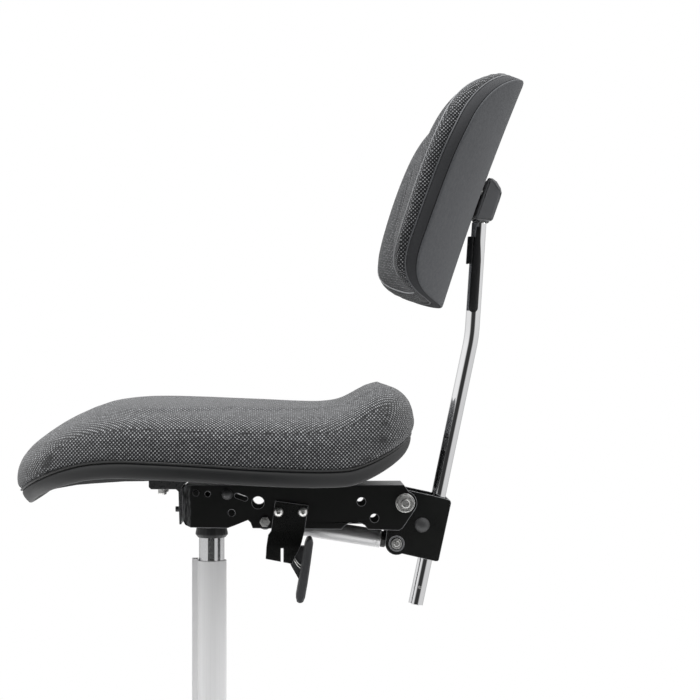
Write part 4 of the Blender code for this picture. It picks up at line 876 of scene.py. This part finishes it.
def rod_strip_shape():
    """Moulded strip that hugs the rod, round at its foot and narrowing to its head."""
    up = (ROD_TOP - ROD_BEND).normalized()
    across = Vector((up.z, 0.0, -up.x))
    foot = ROD_BEND + up * ((STRIP_FOOT_HEIGHT - ROD_BEND.z) / up.z)
    rings = []
    for height in (0.15, 0.6, 1.4, 2.6, 4.0, 5.5, 20.0, 40.0, 58.0, 70.0, 80.0, 88.0, 93.0, STRIP_LENGTH):
        spread = math.radians(STRIP_HALF_ANGLE) * strip_share(height)
        ring = []
        for radius, direction in ((STRIP_OUTER_RADIUS, 1.0), (STRIP_INNER_RADIUS, -1.0)):
            for k in range(9):
                angle = math.radians(STRIP_MIDDLE_ANGLE) + direction * spread * (k / 4.0 - 1.0)
                ring.append((foot + across * radius * math.cos(angle)
                             + Vector((0.0, radius * math.sin(angle), 0.0)) + up * height) * MM)
        rings.append(ring)

    def centre(ring):
        return sum(ring, Vector()) / len(ring)

    return ring_skin(rings, first_pole=centre(rings[0]), last_pole=centre(rings[-1]))


new_piece("rod_strip_finish", rod_strip_shape(), "rod_strip", smooth=50.0)


# ---------------------------------------------------------------- mechanism and column
# The rounded edges of the coated plates get a light grey, a painted highlight.
PLATE_EDGE = 0.4
edged("main_channel", PLATE_EDGE, material=channel_material(), edge_material=EDGE_HIGHLIGHT_PAINT, clamp=False)
for node in ("tilt_bracket", "lever_bracket", "seat_mount_plate", "cone_socket"):
    edged(node, PLATE_EDGE, edge_material=EDGE_HIGHLIGHT_PAINT, clamp=False)
# The front flange takes the grey coat, a painted sheen.
edged("front_flange", PLATE_EDGE, material=SHEEN_PAINTED_COAT, edge_material=EDGE_HIGHLIGHT_PAINT)
edged("joint_housing", 2.4, 3, material=HOUSING, smooth=75.0, clamp=False)
edged("column_outer_tube", 0.35, material=TUBE_SATIN)
for node, width in (
    ("pivot_nut", 0.9), ("pivot_washer", 0.5), ("spring_front_nut", 0.4), ("lever_screw_front", 0.25),
    ("lever_screw_rear", 0.25), ("tilt_lever", 0.6), ("rod_guide", 0.5),
    ("clamp_knob", 0.8), ("rod_button", 0.4), ("star_base", 0.8), ("height_lever_grip", 0.4),
    ("spring_rear_pin", 0.35), ("pivot_bolt", 0.4),
):
    edged(node, width)

SPRING_REAR = Vector((201.7, 0.0, 351.0))
SPRING_FRONT = Vector((58.9, 0.0, 373.2))
CYLINDER_PROFILE = [
    (9.0, 104), (9.7, 103.6), (10.0, 102.8), (10.0, 21.2), (9.7, 20.9), (9.7, 20.2), (10.0, 19.9),
    (10.0, 17.3), (9.8, 16.7), (9.3, 16.3), (8.3, 16.3), (8.3, 101), (4.25, 101), (4.25, 104),
]
cylinder_shape = turned(CYLINDER_PROFILE, SPRING_REAR, SPRING_FRONT - SPRING_REAR)
new_piece("spring_cylinder_finish", cylinder_shape, "spring_cylinder", SPRING_SATIN)

TOWARDS_NEAR_SIDE = (0, -1, 0)
CLAMP_BOLT_FAR_END = (229.5, 51.0, 371.3)
CLAMP_BOLT_PROFILE = [
    (0, 83.1), (1.8, 83.0), (3.6, 82.7), (5.2, 82.1), (6.6, 81.3), (7.6, 80.4), (8.2, 79.5), (8.2, 79.1),
    (3.99, 79.1), (3.99, 0.5), (3.5, 0.0), (0, 0),
]
clamp_bolt_shape = turned(CLAMP_BOLT_PROFILE, CLAMP_BOLT_FAR_END, TOWARDS_NEAR_SIDE)
new_piece("clamp_bolt_finish", clamp_bolt_shape, "clamp_bolt", SATIN_CAP)

RIVET_PLACE = (18.1, -29.2, 404.6)
RIVET_PROFILE = [
    (0, 7.7), (1.2, 7.6), (2.4, 7.25), (3.6, 6.6), (4.7, 5.6), (5.5, 4.4), (5.95, 3.1), (5.95, 1.5), (0, 1.5),
]
rivet_shape = turned(RIVET_PROFILE, RIVET_PLACE, TOWARDS_NEAR_SIDE)
extra_piece("dome_rivet_cap", rivet_shape, "seat_frame", "black_coat", SATIN_CAP)

WIRE_Y = -40.1
WIRE_RADIUS = 0.65 * MM
WIRE_GAP = 3.4
WIRE_PATH = [(83.5, 346.0), (86.5, 343.6), (89.4, 339.6), (92.2, 335.2), (95.2, 331.2), (98.4, 328.6)]
for number in range(2):
    wire = [Vector((x, WIRE_Y, z - number * WIRE_GAP)) * MM for x, z in WIRE_PATH]
    extra_piece(f"lever_spring_wire_{number}", tube_along(wire, WIRE_RADIUS, 8), "tilt_lever", "zinc")

# ---------------------------------------------------------------- CAD nodes
for name, node in NODES.items():
    set_material(node, MATERIALS[SLOT_OF[name]])
# The seat shell takes the near-black plastic, a painted shade on its underside.
set_material(NODES["seat_shell"], PAN_SHADE_PAINT)
